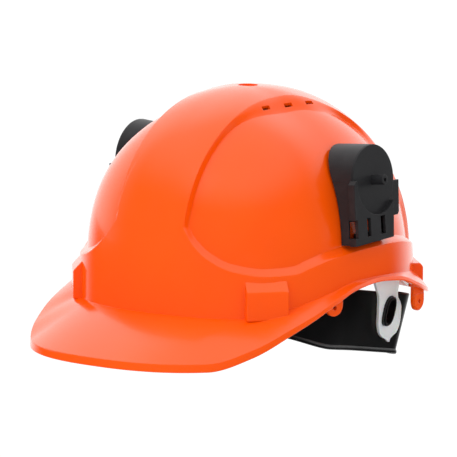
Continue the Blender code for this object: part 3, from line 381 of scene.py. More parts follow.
def loft(rings, name="tool", closed=False):
    """Skin over equal rings; closed joins the last ring to the first, else both get caps."""
    n, m = len(rings[0]), len(rings)
    verts = [v for ring in rings for v in ring]
    faces = []
    for i in range(m if closed else m - 1):
        a, b = i * n, ((i + 1) % m) * n
        for j in range(n):
            k = (j + 1) % n
            faces.append((a + j, b + j, b + k, a + k))
    if not closed:
        faces.append(tuple(range(n - 1, -1, -1)))
        faces.append(tuple((m - 1) * n + j for j in range(n)))
    return mesh_obj(verts, faces, name)


def tube(rings, first, last, name="tool"):
    """Skin over rings, closed by a point at each end."""
    n = len(rings[0])
    verts = [first]
    for ring in rings:
        verts.extend(ring.tolist())
    verts.append(last)
    faces = [(0, 1 + j, 1 + (j + 1) % n) for j in range(n)]
    for i in range(len(rings) - 1):
        a, b = 1 + i * n, 1 + (i + 1) * n
        faces += [(a + j, b + j, b + (j + 1) % n, a + (j + 1) % n) for j in range(n)]
    a, end = 1 + (len(rings) - 1) * n, len(verts) - 1
    faces += [(a + j, end, a + (j + 1) % n) for j in range(n)]
    return mesh_obj(verts, faces, name)


def smooth(obj, angle, weighted):
    """Smooth shading with edges over angle (degrees) kept sharp."""
    mesh = obj.data
    mesh.polygons.foreach_set("use_smooth", [True] * len(mesh.polygons))
    bm = bmesh.new()
    bm.from_mesh(mesh)
    limit = math.radians(angle)
    for e in bm.edges:
        if len(e.link_faces) == 2:
            e.smooth = e.calc_face_angle(0) < limit
    bm.to_mesh(mesh)
    bm.free()
    if weighted:
        mod = obj.modifiers.new("wn", 'WEIGHTED_NORMAL')
        mod.keep_sharp = True
        mod.weight = 60


def finish_piece(obj, material, node=None, body="helmet", angle=25.0, weighted=True):
    """Place, shade and attach a piece to its body; node is the CAD piece it stands for, now
    hidden.
    """
    obj.data.transform(Matrix.Translation(SHIFT))
    obj.data.transform(Matrix.Scale(MM, 4))
    smooth(obj, angle, weighted)
    obj.data.materials.clear()
    obj.data.materials.append(material)
    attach(obj, body)
    if node:
        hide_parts(node)


# ---------------------------------------------------------------- materials
class Tree:
    """Short-hand for building a node tree."""

    def __init__(self, tree):
        self.tree = tree
        tree.nodes.clear()

    def put(self, socket, value):
        if isinstance(value, bpy.types.NodeSocket):
            self.tree.links.new(value, socket)
        elif isinstance(value, tuple) and len(value) == 3 and socket.type == 'RGBA':
            socket.default_value = (*value, 1)
        else:
            socket.default_value = value

    def node(self, kind, props=None, out=0, **inputs):
        """New node; i0, i1.. set inputs by index, other names by label. Returns one output."""
        node = self.tree.nodes.new(kind)
        for key, value in (props or {}).items():
            setattr(node, key, value)
        for key, value in inputs.items():
            by_index = key[0] == 'i' and key[1:].isdigit()
            self.put(node.inputs[int(key[1:]) if by_index else key.replace("_", " ")], value)
        return node.outputs[out]

    def output(self, shader, kind="ShaderNodeOutputMaterial"):
        node = self.tree.nodes.new(kind)
        self.tree.links.new(shader, node.inputs[0])

    def math(self, operation, a, b=0.0):
        return self.node("ShaderNodeMath", {"operation": operation}, i0=a, i1=b)

    def add(self, a, b):
        return self.math('ADD', a, b)

    def sub(self, a, b):
        return self.math('SUBTRACT', a, b)

    def mul(self, a, b):
        return self.math('MULTIPLY', a, b)

    def dot(self, a, b):
        return self.node("ShaderNodeVectorMath", {"operation": 'DOT_PRODUCT'}, out="Value",
                         i0=a, i1=tuple(b))

    def ramp(self, value, start, end):
        """0 below start, 1 above end, smooth between."""
        return self.node("ShaderNodeMapRange", {"interpolation_type": 'SMOOTHSTEP'},
                         i0=value, i1=start, i2=end)

    def mix(self, factor, a, b):
        return self.node("ShaderNodeMix", {"data_type": 'RGBA'}, out=2, i0=factor, i6=a, i7=b)

    def noise(self, coords, scale, detail=2.0, rough=0.5, distortion=0.0):
        return self.node("ShaderNodeTexNoise", Vector=coords, Scale=scale, Detail=detail,
                         Roughness=rough, Distortion=distortion)

    def coords(self):
        return self.node("ShaderNodeTexCoord", out="Object")


def new_material(name):
    material = bpy.data.materials.new(name)
    material.use_nodes = True
    return material, Tree(material.node_tree)


def moulded(name, colour, drift, rough, grain=1800.0, grain_depth=0.02, mottle=14.0, wear_and_edge_highlight=None,
            edge_r=0.35, coat=0.0, spec=0.5, rough_var=0.08, subsurf=0.0, trans=0.0, flow=None):
    """Moulded plastic: slow colour drift, fine surface grain, a painted highlight on the edges.

    grain and mottle are noise scales, grain_depth and edge_r are in mm, wear_and_edge_highlight is
    (colour, strength) of a painted edge highlight in wear-like patches, flow is (scale, strength,
    colour) of streaks.
    """
    material, t = new_material(name)
    coords = t.coords()
    blotch = t.noise(coords, scale=mottle, detail=3.0, rough=0.55)
    base = t.mix(t.ramp(blotch, start=0.35, end=0.65), colour, drift)
    if flow:
        scale, strength, streak = flow
        swirl = t.noise(coords, scale=scale, detail=4.0, distortion=1.5)
        base = t.mix(t.mul(t.ramp(swirl, start=0.5, end=0.75), strength), base, streak)
    # painted highlight: a lighter colour on the convex edges (high pointiness), broken into
    # wear-like patches by noise
    if wear_and_edge_highlight:
        pointed = t.node("ShaderNodeNewGeometry", out="Pointiness")
        wear_and_highlight_mask = t.mul(t.ramp(pointed, start=0.52, end=0.60),
                     t.ramp(t.noise(coords, scale=160.0, detail=3.0), start=0.35, end=0.7))
        base = t.mix(t.mul(wear_and_highlight_mask, wear_and_edge_highlight[1]), base, wear_and_edge_highlight[0])
    smudge = t.noise(coords, scale=90.0, detail=3.0, rough=0.6)
    roughness = t.add(rough, t.mul(t.sub(smudge, 0.5), rough_var * 2))
    normal = t.node("ShaderNodeBevel", {"samples": 4}, Radius=edge_r * MM)
    grains = t.noise(coords, scale=grain, detail=2.0, rough=0.6)
    normal = t.node("ShaderNodeBump", Strength=0.5, Distance=grain_depth * MM,
                    Height=grains, Normal=normal)
    inside = {}
    if subsurf:
        inside = dict(Subsurface_Weight=subsurf, Subsurface_Radius=(0.004, 0.002, 0.001),
                      Subsurface_Scale=1.0)
    t.output(t.node("ShaderNodeBsdfPrincipled", Base_Color=base, Roughness=roughness,
                    Normal=normal, IOR=1.5, Specular_IOR_Level=spec, Coat_Weight=coat,
                    Coat_Roughness=0.08, Transmission_Weight=trans, **inside))
    return material


def fabric(name, colour, raised, pitch, sheen=0.4, diagonal=False):
    """Woven cloth from two crossed waves in object space; pitch in mm."""
    material, t = new_material(name)
    coords = t.coords()
    x, y, z = t.node("ShaderNodeSeparateXYZ", i0=coords).node.outputs
    waves = 2 * math.pi / (pitch * MM)
    if diagonal:
        warp = t.math('SINE', t.mul(t.add(x, y), waves * 0.7))
        weft = t.math('SINE', t.mul(t.sub(x, y), waves * 0.7))
    else:
        warp = t.math('SINE', t.mul(t.add(x, y), waves))
        weft = t.math('SINE', t.mul(z, waves))
    weave = t.mul(warp, weft)
    fuzz = t.noise(coords, scale=900.0, detail=3.0, rough=0.7)
    height = t.add(t.mul(weave, 0.5), t.mul(fuzz, 0.6))
    # the raised threads take the lighter colour and the weave's hollows the darker one: painted
    # shade in the weave, with random fuzz in the tone
    base = t.mix(t.ramp(t.add(weave, t.sub(fuzz, 0.5)), start=-0.8, end=0.8), colour, raised)
    normal = t.node("ShaderNodeBump", Strength=0.8, Distance=0.12 * MM, Height=height)
    t.output(t.node("ShaderNodeBsdfPrincipled", Base_Color=base, Roughness=0.9,
                    Sheen_Weight=sheen, Sheen_Roughness=0.5, Normal=normal))
    return material


M_SHELL = moulded("shell_orange_gloss", colour=(0.98, 0.088, 0.0), drift=(1.0, 0.096, 0.0),
                  rough=0.20, grain=700.0, grain_depth=0.012, mottle=9.0,
                  wear_and_edge_highlight=((1.0, 0.17, 0.02), 0.35), edge_r=0.55, coat=0.25, rough_var=0.03,
                  flow=(11.0, 0.12, (0.96, 0.078, 0.0)))
M_CARRIER = moulded("carrier_dark_grey", colour=(0.019, 0.019, 0.021),
                    drift=(0.022, 0.022, 0.024), rough=0.46, grain=2600.0, grain_depth=0.035,
                    wear_and_edge_highlight=((0.06, 0.06, 0.063), 0.12), edge_r=0.45, spec=0.33, rough_var=0.02)
M_BAND = moulded("band_black_smooth", colour=(0.002, 0.002, 0.0024),
                 drift=(0.0035, 0.0035, 0.004), rough=0.36, grain=1500.0,
                 wear_and_edge_highlight=((0.05, 0.05, 0.052), 0.5), edge_r=0.4)
M_STRAP = moulded("strap_black_nylon", colour=(0.012, 0.012, 0.013), drift=(0.018, 0.018, 0.02),
                  rough=0.45, grain=2200.0, grain_depth=0.03,
                  wear_and_edge_highlight=((0.06, 0.06, 0.062), 0.5), edge_r=0.25)
M_PAWL = moulded("pawl_grey_acetal", colour=(0.26, 0.26, 0.27), drift=(0.33, 0.33, 0.34),
                 rough=0.4, edge_r=0.25)
M_HANGER = moulded("hanger_pale_clear", colour=(0.86, 0.88, 0.88), drift=(0.92, 0.94, 0.94),
                   rough=0.30, grain=1200.0, wear_and_edge_highlight=((0.94, 0.95, 0.96), 0.6), edge_r=0.4,
                   subsurf=0.25, trans=0.05)
M_WEB = fabric("strap_webbing_weave", colour=(0.47, 0.48, 0.50), raised=(0.62, 0.63, 0.65),
               pitch=1.1, diagonal=True)
M_FOAM = fabric("pad_knit_grey", colour=(0.030, 0.030, 0.034), raised=(0.065, 0.065, 0.070),
                pitch=1.3, sheen=0.6)
M_THREAD = moulded("stitch_thread", colour=(0.70, 0.71, 0.73), drift=(0.78, 0.79, 0.8),
                   rough=0.7, grain=4000.0, grain_depth=0.05, edge_r=0.1)


# ---------------------------------------------------------------- shell surface
def azimuths(count):
    """2 * count azimuths round the helmet, denser near 25 and 138 degrees."""
    a = np.linspace(0, 180, 3601)
    weight = 1.0 + 1.5 * np.exp(-((a - 25) / 13) ** 2) + 1.0 * np.exp(-((a - 138) / 14) ** 2)
    total = np.concatenate([[0], np.cumsum((weight[1:] + weight[:-1]) / 2)])
    half = np.interp(np.linspace(0, total[-1], count + 1), total, a)
    return np.radians(np.concatenate([half, 360 - half[-2:0:-1]]))


def crease_z(azim, k, lowest):
    """Height at which each meridian crosses the foot (k=1) or top (k=0) of the ridge slope."""
    low, high = lowest.copy(), np.full_like(lowest, DOME_H - 0.3)
    for _ in range(40):
        middle = (low + high) / 2
        point = dome(azim, middle)
        start, width = crease(point[:, 1])
        beyond = np.abs(point[:, 0]) - start - k * width > 0
        low, high = np.where(beyond, middle, low), np.where(beyond, high, middle)
    return low


def crowded(count, edge=0.06):
    """Fractions 0..1 (0 left out) crowded at both ends."""
    t = np.arange(1, count + 1) / count
    return np.concatenate([[edge / count * 2], t[:-1], [1 - edge / count * 2, 1.0]])


def shell_rings(count):
    """Rings from the crown down the outside, round the rim and up the inside."""
    azim = azimuths(count)
    angle = off_front(azim)
    root, ledge, low = (curve(table, angle) for table in (RIM_ROOT, LEDGE, RIM_LOW))
    reach = rim_reach(azim)
    lip = 3.0 + 2.6 * (1 - smoothstep((angle - 35) / 35))
    ledge_top = ledge + LEDGE_W
    slope_foot = np.maximum(crease_z(azim, 1.0, ledge_top), ledge_top + 3.0)
    slope_top = np.maximum(crease_z(azim, 0.0, ledge_top), slope_foot + 1.2)
    crown = latitude_of(slope_top)

    # outside: crown, slope, panel, ledge, skirt
    heights = [latitude_z(crown + (1 - crown) * t)
               for t in [1 - i / 47 for i in range(1, 47)] + [0.006]]
    heights += [slope_top + (slope_foot - slope_top) * t for t in crowded(6)]
    heights += [slope_foot + (ledge_top - slope_foot) * t for t in crowded(24, 0.12)]
    heights += [ledge_top + (ledge - ledge_top) * t for t in crowded(5)]
    heights += [ledge + (root - ledge) * t for t in crowded(11)]
    rings = [skin(azim, z) for z in heights]

    # rim: top face, rounded lip, underside
    lip_top = low + lip
    for t in [0.03] + list(np.arange(1, 14) / 14) + [0.985, 1.0]:
        rings.append(rim_ring(azim, root + (lip_top - root) * (t ** 1.15),
                              0.6 + (reach - 0.6) * t))
    for dz, dr in ((-0.35, 0.12), (-1.0, 0.2)):
        rings.append(rim_ring(azim, lip_top + dz, reach + dr))
    for dz, dr in ((0.8, 0.5), (0.35, 0.42), (0.1, 0.22), (0.0, 0.0), (0.0, -1.3), (0.12, -1.65)):
        rings.append(rim_ring(azim, low + dz, reach + dr))
    rings.append(rim_ring(azim, low + 0.55 * (lip_top - low), reach - 2.2))
    steep = np.clip((root - lip_top) / np.maximum(reach, 1.0), 0, 2.5)
    for t in [1 - i / 10 for i in range(1, 11)]:
        drop = WALL * np.sqrt(1 + steep * steep) * (1 - 0.35 * (1 - t) * (steep > 0.9))
        z = np.maximum(root + (lip_top - root) * (t ** 1.15) - drop, low)
        rings.append(rim_ring(azim, z, -WALL + reach * t))

    # inside, one wall thickness in
    start = rings[-1][:, 2]
    shelf = ledge - 1.0
    heights = [np.maximum(start + (shelf - start) * i / 8, start + 0.1 * i) for i in range(1, 9)]
    heights += [shelf + (LEDGE_W + 1.0) * i / 4 for i in range(1, 5)]
    heights += [ledge_top + (slope_foot - ledge_top) * i / 8 for i in range(1, 9)]
    heights += [slope_foot + (slope_top - slope_foot) * i / 3 for i in range(1, 4)]
    heights += [latitude_z(crown + (1 - crown) * i / 16) for i in range(1, 16)]
    return rings + [skin(azim, z, -WALL) for z in heights]


def dome_plug(heights, off):
    """Solid filling the shell's surface moved out by off."""
    azim = azimuths(60)
    rings = []
    for z in heights:
        ring = skin(azim, z + 0 * azim, off)
        ring[:, 2] = z
        rings.append(ring)
    return tube(rings, (0, 10, heights[0] - 0.1), (0, 10, heights[-1] + 0.1))


# ---------------------------------------------------------------- shell features
# bosses on the shell: (out, z) profiles and their extent across
FRONT_BOSS_OUT, FRONT_BOSS_ACROSS = 114.9, (-22.6, 6.4)
FRONT_BOSS = [(104.5, -10.5), (FRONT_BOSS_OUT, -10.5), (FRONT_BOSS_OUT, 9.0), (109.0, 15.5),
              (104.5, 15.5)]
FRONT_BOSS_SLOT = [(109.9, -25), (112.7, -25), (112.7, 7.5), (109.9, 7.5)]
REAR_BOSS_TURN, REAR_BOSS_ACROSS = math.radians(135), (4.0, 31.0)
REAR_BOSS = [(118.5, -9.0), (128.8, -9.0), (128.8, 5.0), (126.8, 7.6), (118.5, 7.6)]
# round-ended lugs: degrees from the front, inner and outer face, centre across, half width,
# top z, bottom z, hole z, cut-down of the far top corner, whether it has a raised pad
LUGS = ((77, 100.0, 102.8, -3.4, 7.3, 11.0, -12.6, -6.8, 0.0, False),
        (97, 103.2, 106.0, 63.0, 7.5, 2.0, -22.2, -15.6, 10.0, True))
LUG_HOLE_R, LUG_PAD, LUG_PAD_TOP = 1.6, 0.4, -10.4
# vents beside the crown ridge: x, y, lean
VENTS = ((33.0, -15.7, 0.11), (36.0, 5.8, 0.15), (39.3, 25.5, 0.13))
VENT_Z, VENT_HALF = 122.7, (3.7, 1.35)
GATE_Y, GATE_R = 8.2, 6.9              # round recess in the crown
CAR_C, TONGUE_W, TONGUE_T = (100.9, 14.4, 76.1), 28.0, 2.2
TONGUE_X = float(skin(np.array([math.radians(90.0)]), np.array([38.0]))[0][0]) + 0.3


def bottom_arc(centre, z_mid, radius, steps):
    return [(centre - radius * math.cos(a), z_mid - radius * math.sin(a))
            for a in [math.pi * k / steps for k in range(steps + 1)]]


def lug(sign, turn, inner, outer, centre, half_w, top, bottom, hole_z, corner, padded):
    """Lug, its hole cutter and its pads."""
    axes = side_axes(math.radians(turn), sign)
    z_mid = bottom + half_w
    points = [(centre - half_w, top), (centre - half_w, z_mid)]
    points += bottom_arc(centre, z_mid, half_w, 20)[1:-1]
    points += [(centre + half_w, z_mid), (centre + half_w, top - corner)]
    body = bevel(prism(points, inner, outer, axes), 0.5, 2, 50)
    pads = []
    if padded:
        radius = half_w - 0.7
        points = [(centre - radius, LUG_PAD_TOP)] + bottom_arc(centre, z_mid, radius, 24)
        points.append((centre + radius, LUG_PAD_TOP))
        pads.append(bevel(prism(points, outer - 0.6, outer + LUG_PAD, axes), 0.12, 1, 50))
    hole = prism(circle(LUG_HOLE_R, 24, centre, hole_z), inner - 3, outer + 3, axes)
    return body, hole, pads


def vent(sign, x, y, lean):
    along = Vector((sign * lean, 1, 0)).normalized()
    facing = Vector((sign * 0.51, 0, 0.86))
    facing = (facing - along * facing.dot(along)).normalized()
    axes = (Vector((sign * x, y, VENT_Z)), along, along.cross(facing), facing)
    return prism(round_rect(*VENT_HALF, 0.5, 3), -14, 8, axes)


def tongue(sign, gap, z0, z1):
    """Carrier tongue, or with a gap the slot for it."""
    x0, x1 = sorted((sign * (TONGUE_X - gap), sign * (TONGUE_X + TONGUE_T + gap)))
    half = TONGUE_W / 2
    return box((x0, CAR_C[1] - half - gap, z0), (x1, CAR_C[1] + half + gap, z1))


def socket(axes, out, across, z_span, depth):
    """Block on the inside of the shell that takes a hanger key."""
    return bevel(box((across - 13.0, z_span[0], out - 3.2),
                     (across + 13.0, z_span[1], out + depth), axes), 0.6, 2)


def key_slot(axes, out, across, z_span):
    return box((across - KEY_W / 2 - FIT_GAP, z_span[0] - 3, out - KEY_T / 2 - FIT_GAP),
               (across + KEY_W / 2 + FIT_GAP, z_span[1] + 3, out + KEY_T / 2 + FIT_GAP), axes)


def build_shell():
    top = tuple(skin(np.array([0.0]), np.array([DOME_H - 1e-3]))[0])
    shell = tube(shell_rings(200), top, (top[0], top[1], top[2] - WALL), "shell_moulding")
    adds, pads, sockets, cuts = [], [], [], []
    for sign in (1, -1):
        front = side_axes(FRONT_TURN, sign)
        adds.append(bevel(profile_block(FRONT_BOSS, *FRONT_BOSS_ACROSS, front), 0.9, 3))
        cuts.append(profile_block(FRONT_BOSS_SLOT, FRONT_BOSS_ACROSS[0] + 2.5,
                                  FRONT_BOSS_ACROSS[1] - 2.5, front))
        rear = side_axes(REAR_BOSS_TURN, sign)
        adds.append(bevel(profile_block(REAR_BOSS, *REAR_BOSS_ACROSS, rear), 0.9, 3))
        for row in LUGS:
            body, hole, lug_pads = lug(sign, *row)
            adds.append(body)
            cuts.append(hole)
            pads += lug_pads
        cuts += [vent(sign, *row) for row in VENTS]
        cuts.append(tongue(sign, FIT_GAP, 13.0, 44.0))
        sideways = side_axes(math.pi / 2, sign)
        block = socket(sideways, REAR_OUT, REAR_ACROSS, REAR_Z, 12.0)
        boolean(block, dome_plug(np.linspace(-2, 24, 14), -0.9), 'INTERSECT')
        sockets.append(block)
        cuts.append(key_slot(sideways, REAR_OUT, REAR_ACROSS, REAR_Z))
        sockets.append(socket(front, FRONT_OUT, FRONT_ACROSS, FRONT_Z, 6.2))
        cuts.append(key_slot(front, FRONT_OUT, FRONT_ACROSS, FRONT_Z))
    cuts.append(prism(circle(GATE_R, 48, 0, GATE_Y), DOME_H - 1.4, DOME_H + 4, MAIN_AXES))
    for tools in (adds, pads, sockets):
        unite(shell, joined(tools))
    boolean(shell, joined(cuts))
    finish_piece(shell, M_SHELL, "shell", angle=21)


build_shell()

# ---------------------------------------------------------------- carriers
CAR_TILT, CAR_R, CAR_T = math.radians(4.5), 24.0, 2.2
CAR_STEP = 3.5                         # how far the foot stands out from the disc
POST_D, POST_L, POST_BORE = 6.9, 9.8, 2.7
# (across, up) from the disc centre, on the left carrier where across runs to the rear
FOOT = [(-24.6, 1.5), (-27.0, -1.0), (-28.4, -42.4), (15.8, -40.6), (18.0, -16.0), (0, -10.0),
        (-10.0, 1.5)]
FOOT_HOLLOW = [(-25.4, -25.9), (-26.1, -38.4), (13.3, -37.2), (14.4, -25.9)]
REAR_EAR = [(22.0, -3.5), (32.6, -3.5), (31.2, -25.2), (29.7, -27.2), (20.5, -27.2)]
FOOT_SLOTS = ((-31.0, -25.4, -3.0), (-14.5, -10.4, -1.0), (1.4, 6.6, -1.0))  # across 0, 1, out 0
FOOT_SLOT_Z = (-37.2, -24.8)


def carrier_outline(inset):
    """Half disc on top of a tapering skirt."""
    radius = CAR_R - inset
    points = [(radius * math.cos(a), radius * math.sin(a))
              for a in [math.pi * i / 48 for i in range(49)]]
    return points + [(inset - CAR_R, 2.0), (inset * 1.1 - 27.9, inset * 1.6 - 41.9),
                     (21.2 - inset * 1.1, inset * 1.6 - 40.1), (radius, -2.0)]


def carrier(side, sign):
    """The right carrier is the left one turned half round the vertical."""
    cos, sin = math.cos(CAR_TILT), math.sin(CAR_TILT)
    out = Vector((sign * cos, 0, sin))
    up = Vector((-sign * sin, 0, cos))
    axes = (Vector((sign * CAR_C[0], CAR_C[1], CAR_C[2])), EY, up, out)

    def slab(points, out0, out1, name="tool"):
        return prism([(sign * p[0], p[1]) for p in points], out0, out1, axes, name)

    body = bevel(slab(carrier_outline(0), -44, -1.2, "carrier_moulding_" + side), 0.5, 2, 40)
    boolean(body, slab(carrier_outline(CAR_T), -50, -1.2 - CAR_T))
    unite(body, bevel(prism(circle(CAR_R - 0.15, 96), -2.3, 0, axes), 0.4, 2, 40))
    foot = slab(FOOT, -1.7, CAR_STEP)
    boolean(foot, prism(circle(CAR_R - 0.5, 96), -0.4, 6, axes))
    unite(body, bevel(foot, 0.35, 2, 50))
    boolean(body, slab(FOOT_HOLLOW, -4.5, CAR_STEP - CAR_T))
    unite(body, bevel(prism(circle(POST_D / 2, 40), -2.6, POST_L, axes), 0.35, 2, 40))
    unite(body, bevel(slab(REAR_EAR, -4.6, -2.0), 0.3, 2, 40))
    cuts = [prism(circle(POST_BORE / 2, 32), POST_L - 9, POST_L + 1, axes)]
    z0, z1 = FOOT_SLOT_Z
    for u0, u1, out0 in FOOT_SLOTS:
        cuts.append(slab([(u0, z0), (u1, z0), (u1, z1), (u0, z1)], out0, 6))
    boolean(body, joined(cuts))
    # the back follows the shell
    boolean(body, dome_plug(list(np.linspace(12.0, 40.0, 14)) + list(np.linspace(44, 116, 19)),
                            0.6))
    unite(body, bevel(tongue(sign, 0.0, 15.0, 40.0), 0.3, 2))
    node = "carrier_" + side
    finish_piece(body, M_CARRIER, node, body=node)


for side, sign in SIDES:
    carrier(side, sign)

# ---------------------------------------------------------------- headband
LEAN_Y = 66.8                          # where the leaning side wall is BAND_A from the middle
NOSE_POW = 2.3                         # superellipse power of the brow arc
NOSE_STEPS = 18
STRAP_H = 21.0
STUD_A, STUD_B, STAND = 6.0, 10.6, 0.3  # stud half width and height, clearance round it
# headband edges: (out, height from the lower or upper edge)
LOWER_EDGE = [(0, 3.4), (.35, 2.9), (.85, 2.2), (1.05, 1.4), (.9, .6), (.45, .12), (-.2, 0),
              (-1.4, 0), (-1.85, .25), (-2, .8)]
UPPER_EDGE = [(-2, 3.0), (-2.4, 2.4), (-2.8, 1.7), (-2.85, .9), (-2.5, .25), (-1.9, 0), (-.6, 0),
              (-.2, .2), (0, .6)]


def band_z(y):
    return -22.0 - BAND_SLOPE * (y - 13.0)


def band_lean(y):
    return BAND_TAPER * float(smoothstep(np.array((y + 30) / 60)))


def side_x(y):
    return BAND_A + (band_z(y) - band_z(LEAN_Y)) * math.tan(band_lean(y))


def band_half(x, y):
    """Half height of the band."""
    half = 15 + 6.7 * float(smoothstep(np.array((y + 62) / 60)))
    if y > BAND_Y:
        half -= 8.5 * float(smoothstep(np.array((68.0 - x) / 12)))
    return half


def band_path(fine=4):
    """(x, y) of the left half from the middle of the brow to the nape."""
    points = []
    count = NOSE_STEPS * fine
    for i in range(count + 1):
        t = math.pi / 2 * i / count
        sin, cos = math.sin(t), math.cos(t)
        r = (sin ** NOSE_POW + cos ** NOSE_POW) ** (-1 / NOSE_POW)
        points.append((side_x(BAND_YC) * r * sin, BAND_YC - BAND_F * r * cos))
    for y in np.arange(15.0, 77.1, 3.0):
        points.append((side_x(float(y)), float(y)))
    radius = NAPE_R + 3.2
    end, corner = math.asin(46.0 / radius), math.asin(65.0 / radius)

    def nape_y(a):
        return NAPE_O.y + (radius * math.cos(a) - NAPE_R) * math.cos(BAND_TAPER)

    # rear corner: a cubic Bezier from the side wall to the nape arc
    corner_y = nape_y(corner)
    start, stop = Vector((side_x(BAND_Y - 3), BAND_Y - 3)), Vector((radius * math.sin(corner),
                                                                    corner_y))
    pull0 = Vector((side_x(BAND_Y), corner_y - 2.0))
    pull1 = stop + Vector((math.cos(corner), -math.sin(corner))) * 8.5
    count = 8 * fine
    for i in range(1, count):
        t = i / count
        p = (start * (1 - t) ** 3 + 3 * pull0 * t * (1 - t) ** 2 + 3 * pull1 * t * t * (1 - t)
             + stop * t ** 3)
        points.append((p.x, p.y))
    for i in range(3 * fine + 1):
        a = corner + (end - corner) * i / (3 * fine)
        points.append((radius * math.sin(a), nape_y(a)))
    return points


def sweep(name, path, section):
    """section(i, x, y) gives a closed list of (out, height) along the leaning band."""
    n = len(path)
    rings = []
    for i, (x, y) in enumerate(path):
        a, b = path[max(i - 1, 0)], path[min(i + 1, n - 1)]
        dx, dy = b[0] - a[0], b[1] - a[1]
        length = math.hypot(dx, dy)
        flat = Vector((dy / length, -dx / length, 0))
        cos, sin = math.cos(band_lean(y)), math.sin(band_lean(y))
        out = Vector((flat.x * cos, flat.y * cos, -sin))
        up = Vector((flat.x * sin, flat.y * sin, cos))
        origin = Vector((x, y, band_z(y)))
        rings.append([origin + out * d + up * h for d, h in section(i, x, y)])
    return loft(rings, name)


def band_section(_, x, y):
    half = band_half(abs(x), y)
    return ([(d, -half + h) for d, h in LOWER_EDGE] + [(-2, -half * .33), (-2, half * .33)]
            + [(d, half - h) for d, h in UPPER_EDGE] + [(0, half * .33), (0, -half * .33)])


def front_touch():
    """(out, across) of the brow arc's farthest point towards the front hanger."""
    sin, cos = math.sin(FRONT_TURN), math.cos(FRONT_TURN)
    points = [(x * sin - y * cos, x * cos + y * sin) for x, y in band_path(1)[:NOSE_STEPS + 1]]
    return max(points, key=lambda point: point[0])


TOUCH_OUT, TOUCH_ACROSS = front_touch()


def front_stud_axes(sign):
    _, across, up, out = side_axes(FRONT_TURN, sign)
    return (out * TOUCH_OUT + across * TOUCH_ACROSS + up * -6.5, across, up, out)


def rear_stud_axes(sign):
    y, rise = 57.0, 9.4
    out = Vector((sign * math.cos(BAND_TAPER), 0, -math.sin(BAND_TAPER)))
    up = Vector((sign * math.sin(BAND_TAPER), 0, math.cos(BAND_TAPER)))
    return (Vector((sign * side_x(y), y, band_z(y))) + up * rise, EY, up, out)


STUD_AXES = {(end, side): axes(sign) for side, sign in SIDES
             for end, axes in (("front", front_stud_axes), ("rear", rear_stud_axes))}


def stud_hole(end, side, count, out0, out1):
    return prism(oval(STUD_A + STAND, STUD_B + STAND, count), out0, out1, STUD_AXES[end, side])


half_path = band_path()
BAND_PATH = [(-x, y) for x, y in reversed(half_path[1:])] + half_path


def headband():
    band = sweep("headband_moulding", BAND_PATH, band_section)
    adds, cuts = [], []
    a0, a1 = math.asin(47.0 / NAPE_R), math.asin(61.0 / NAPE_R)
    for sign in (1, -1):
        # end block and the slot that the nape strap runs through
        adds.append(bevel(arc_block(NAPE_R - 3.2, NAPE_R + 2.2, sign * a0, sign * a1, 12.2, 12),
                          0.5, 2, 40))
        cuts.append(arc_block(NAPE_R - 1.65, NAPE_R + 1.65, sign * math.radians(12),
                              sign * math.radians(26.5), STRAP_H / 2 + FIT_GAP, 20))
    cuts += [stud_hole(end, side, 48, -BAND_T - 3, 3) for end, side in STUD_AXES]
    unite(band, joined(adds))
    boolean(band, joined(cuts))
    finish_piece(band, M_BAND, "headband", angle=28)


headband()

# ---------------------------------------------------------------- hangers and studs
PLATE_T = 2.0
PLATE_HALF = PLATE_T / 2
PLATE_GAP = 0.4                        # between plate and headband
# hollow stud: (radial offset, out)
STUD_PROFILE = [(0, -BAND_T - 1.1), (0, 4.1), (-.25, 4.6), (-.6, 4.8), (-1.5, 4.8),
                (-1.85, 4.5), (-2.0, 4.0), (-2.0, -BAND_T - 2.0), (-1.7, -BAND_T - 2.2),
                (1.2, -BAND_T - 2.2), (1.6, -BAND_T - 1.9), (1.6, -BAND_T - 1.4),
                (1.3, -BAND_T - 1.1)]
# lower part of the rear hanger: z, centre across, half width
REAR_PLATE = ((-9.5, 53.0, 11.2), (-12.5, 54.4, 11.4), (-15.5, 56.4, 12.6), (-20.0, 58.6, 13.4),
              (-28.0, 60.6, 13.3), (-34.0, 62.0, 12.0), (-38.0, 62.8, 9.6), (-40.8, 63.4, 5.6),
              (-42.4, 64.4, 2.4), (-44.4, 65.6, 1.1))


def stud(end, side):
    origin, across, up, out = STUD_AXES[end, side]
    rings = [[origin + across * p[0] + up * p[1] + out * d
              for p in oval(STUD_A + r, STUD_B + r, 64)] for r, d in STUD_PROFILE]
    name = "%s_%s" % (end, side)
    body = loft(rings, "stud_tube_" + name, closed=True)
    finish_piece(body, M_BAND, "stud_" + name, angle=50)


def ribbon(name, stations, axes):
    """Plate with raised rims; stations are (out, z, across, half width, rim height)."""
    origin, across, up, out = axes
    rows = np.array(stations, float)
    s = np.concatenate([[0], np.cumsum(np.hypot(np.diff(rows[:, 0]), np.diff(rows[:, 1])) + 1e-6)])
    places = np.unique(np.concatenate([
        np.linspace(s[i], s[i + 1], max(2, int((s[i + 1] - s[i]) / 0.7) + 1))
        for i in range(len(s) - 1)]))
    outs, zs, mids, widths, rims = [curve(list(zip(s, rows[:, k])), places) for k in range(5)]
    rings = []
    m = len(places)
    h = PLATE_HALF
    for i in range(m):
        a, b = max(i - 1, 0), min(i + 1, m - 1)
        along = Vector((outs[b] - outs[a], zs[b] - zs[a])).normalized()
        normal = Vector((-along.y, along.x))
        w, r = widths[i], rims[i]
        e = min(0.4, w * 0.3)          # edge rounding
        f = min(1.6, w * 0.6)          # rim width
        section = [(-w, -h + .35), (-w + e, -h), (w - e, -h), (w, -h + .35), (w, h + r - .4),
                   (w - e, h + r), (w - f, h + r), (w - f - .5, h + .4 * r), (w - f - .8, h),
                   (-w + f + .8, h), (-w + f + .5, h + .4 * r), (-w + f, h + r),
                   (-w + e, h + r), (-w, h + r - .4)]
        rings.append([across * (mids[i] + p) + out * (outs[i] + normal.x * t)
                      + up * (zs[i] + normal.y * t) for p, t in section])
    return loft(rings, name)


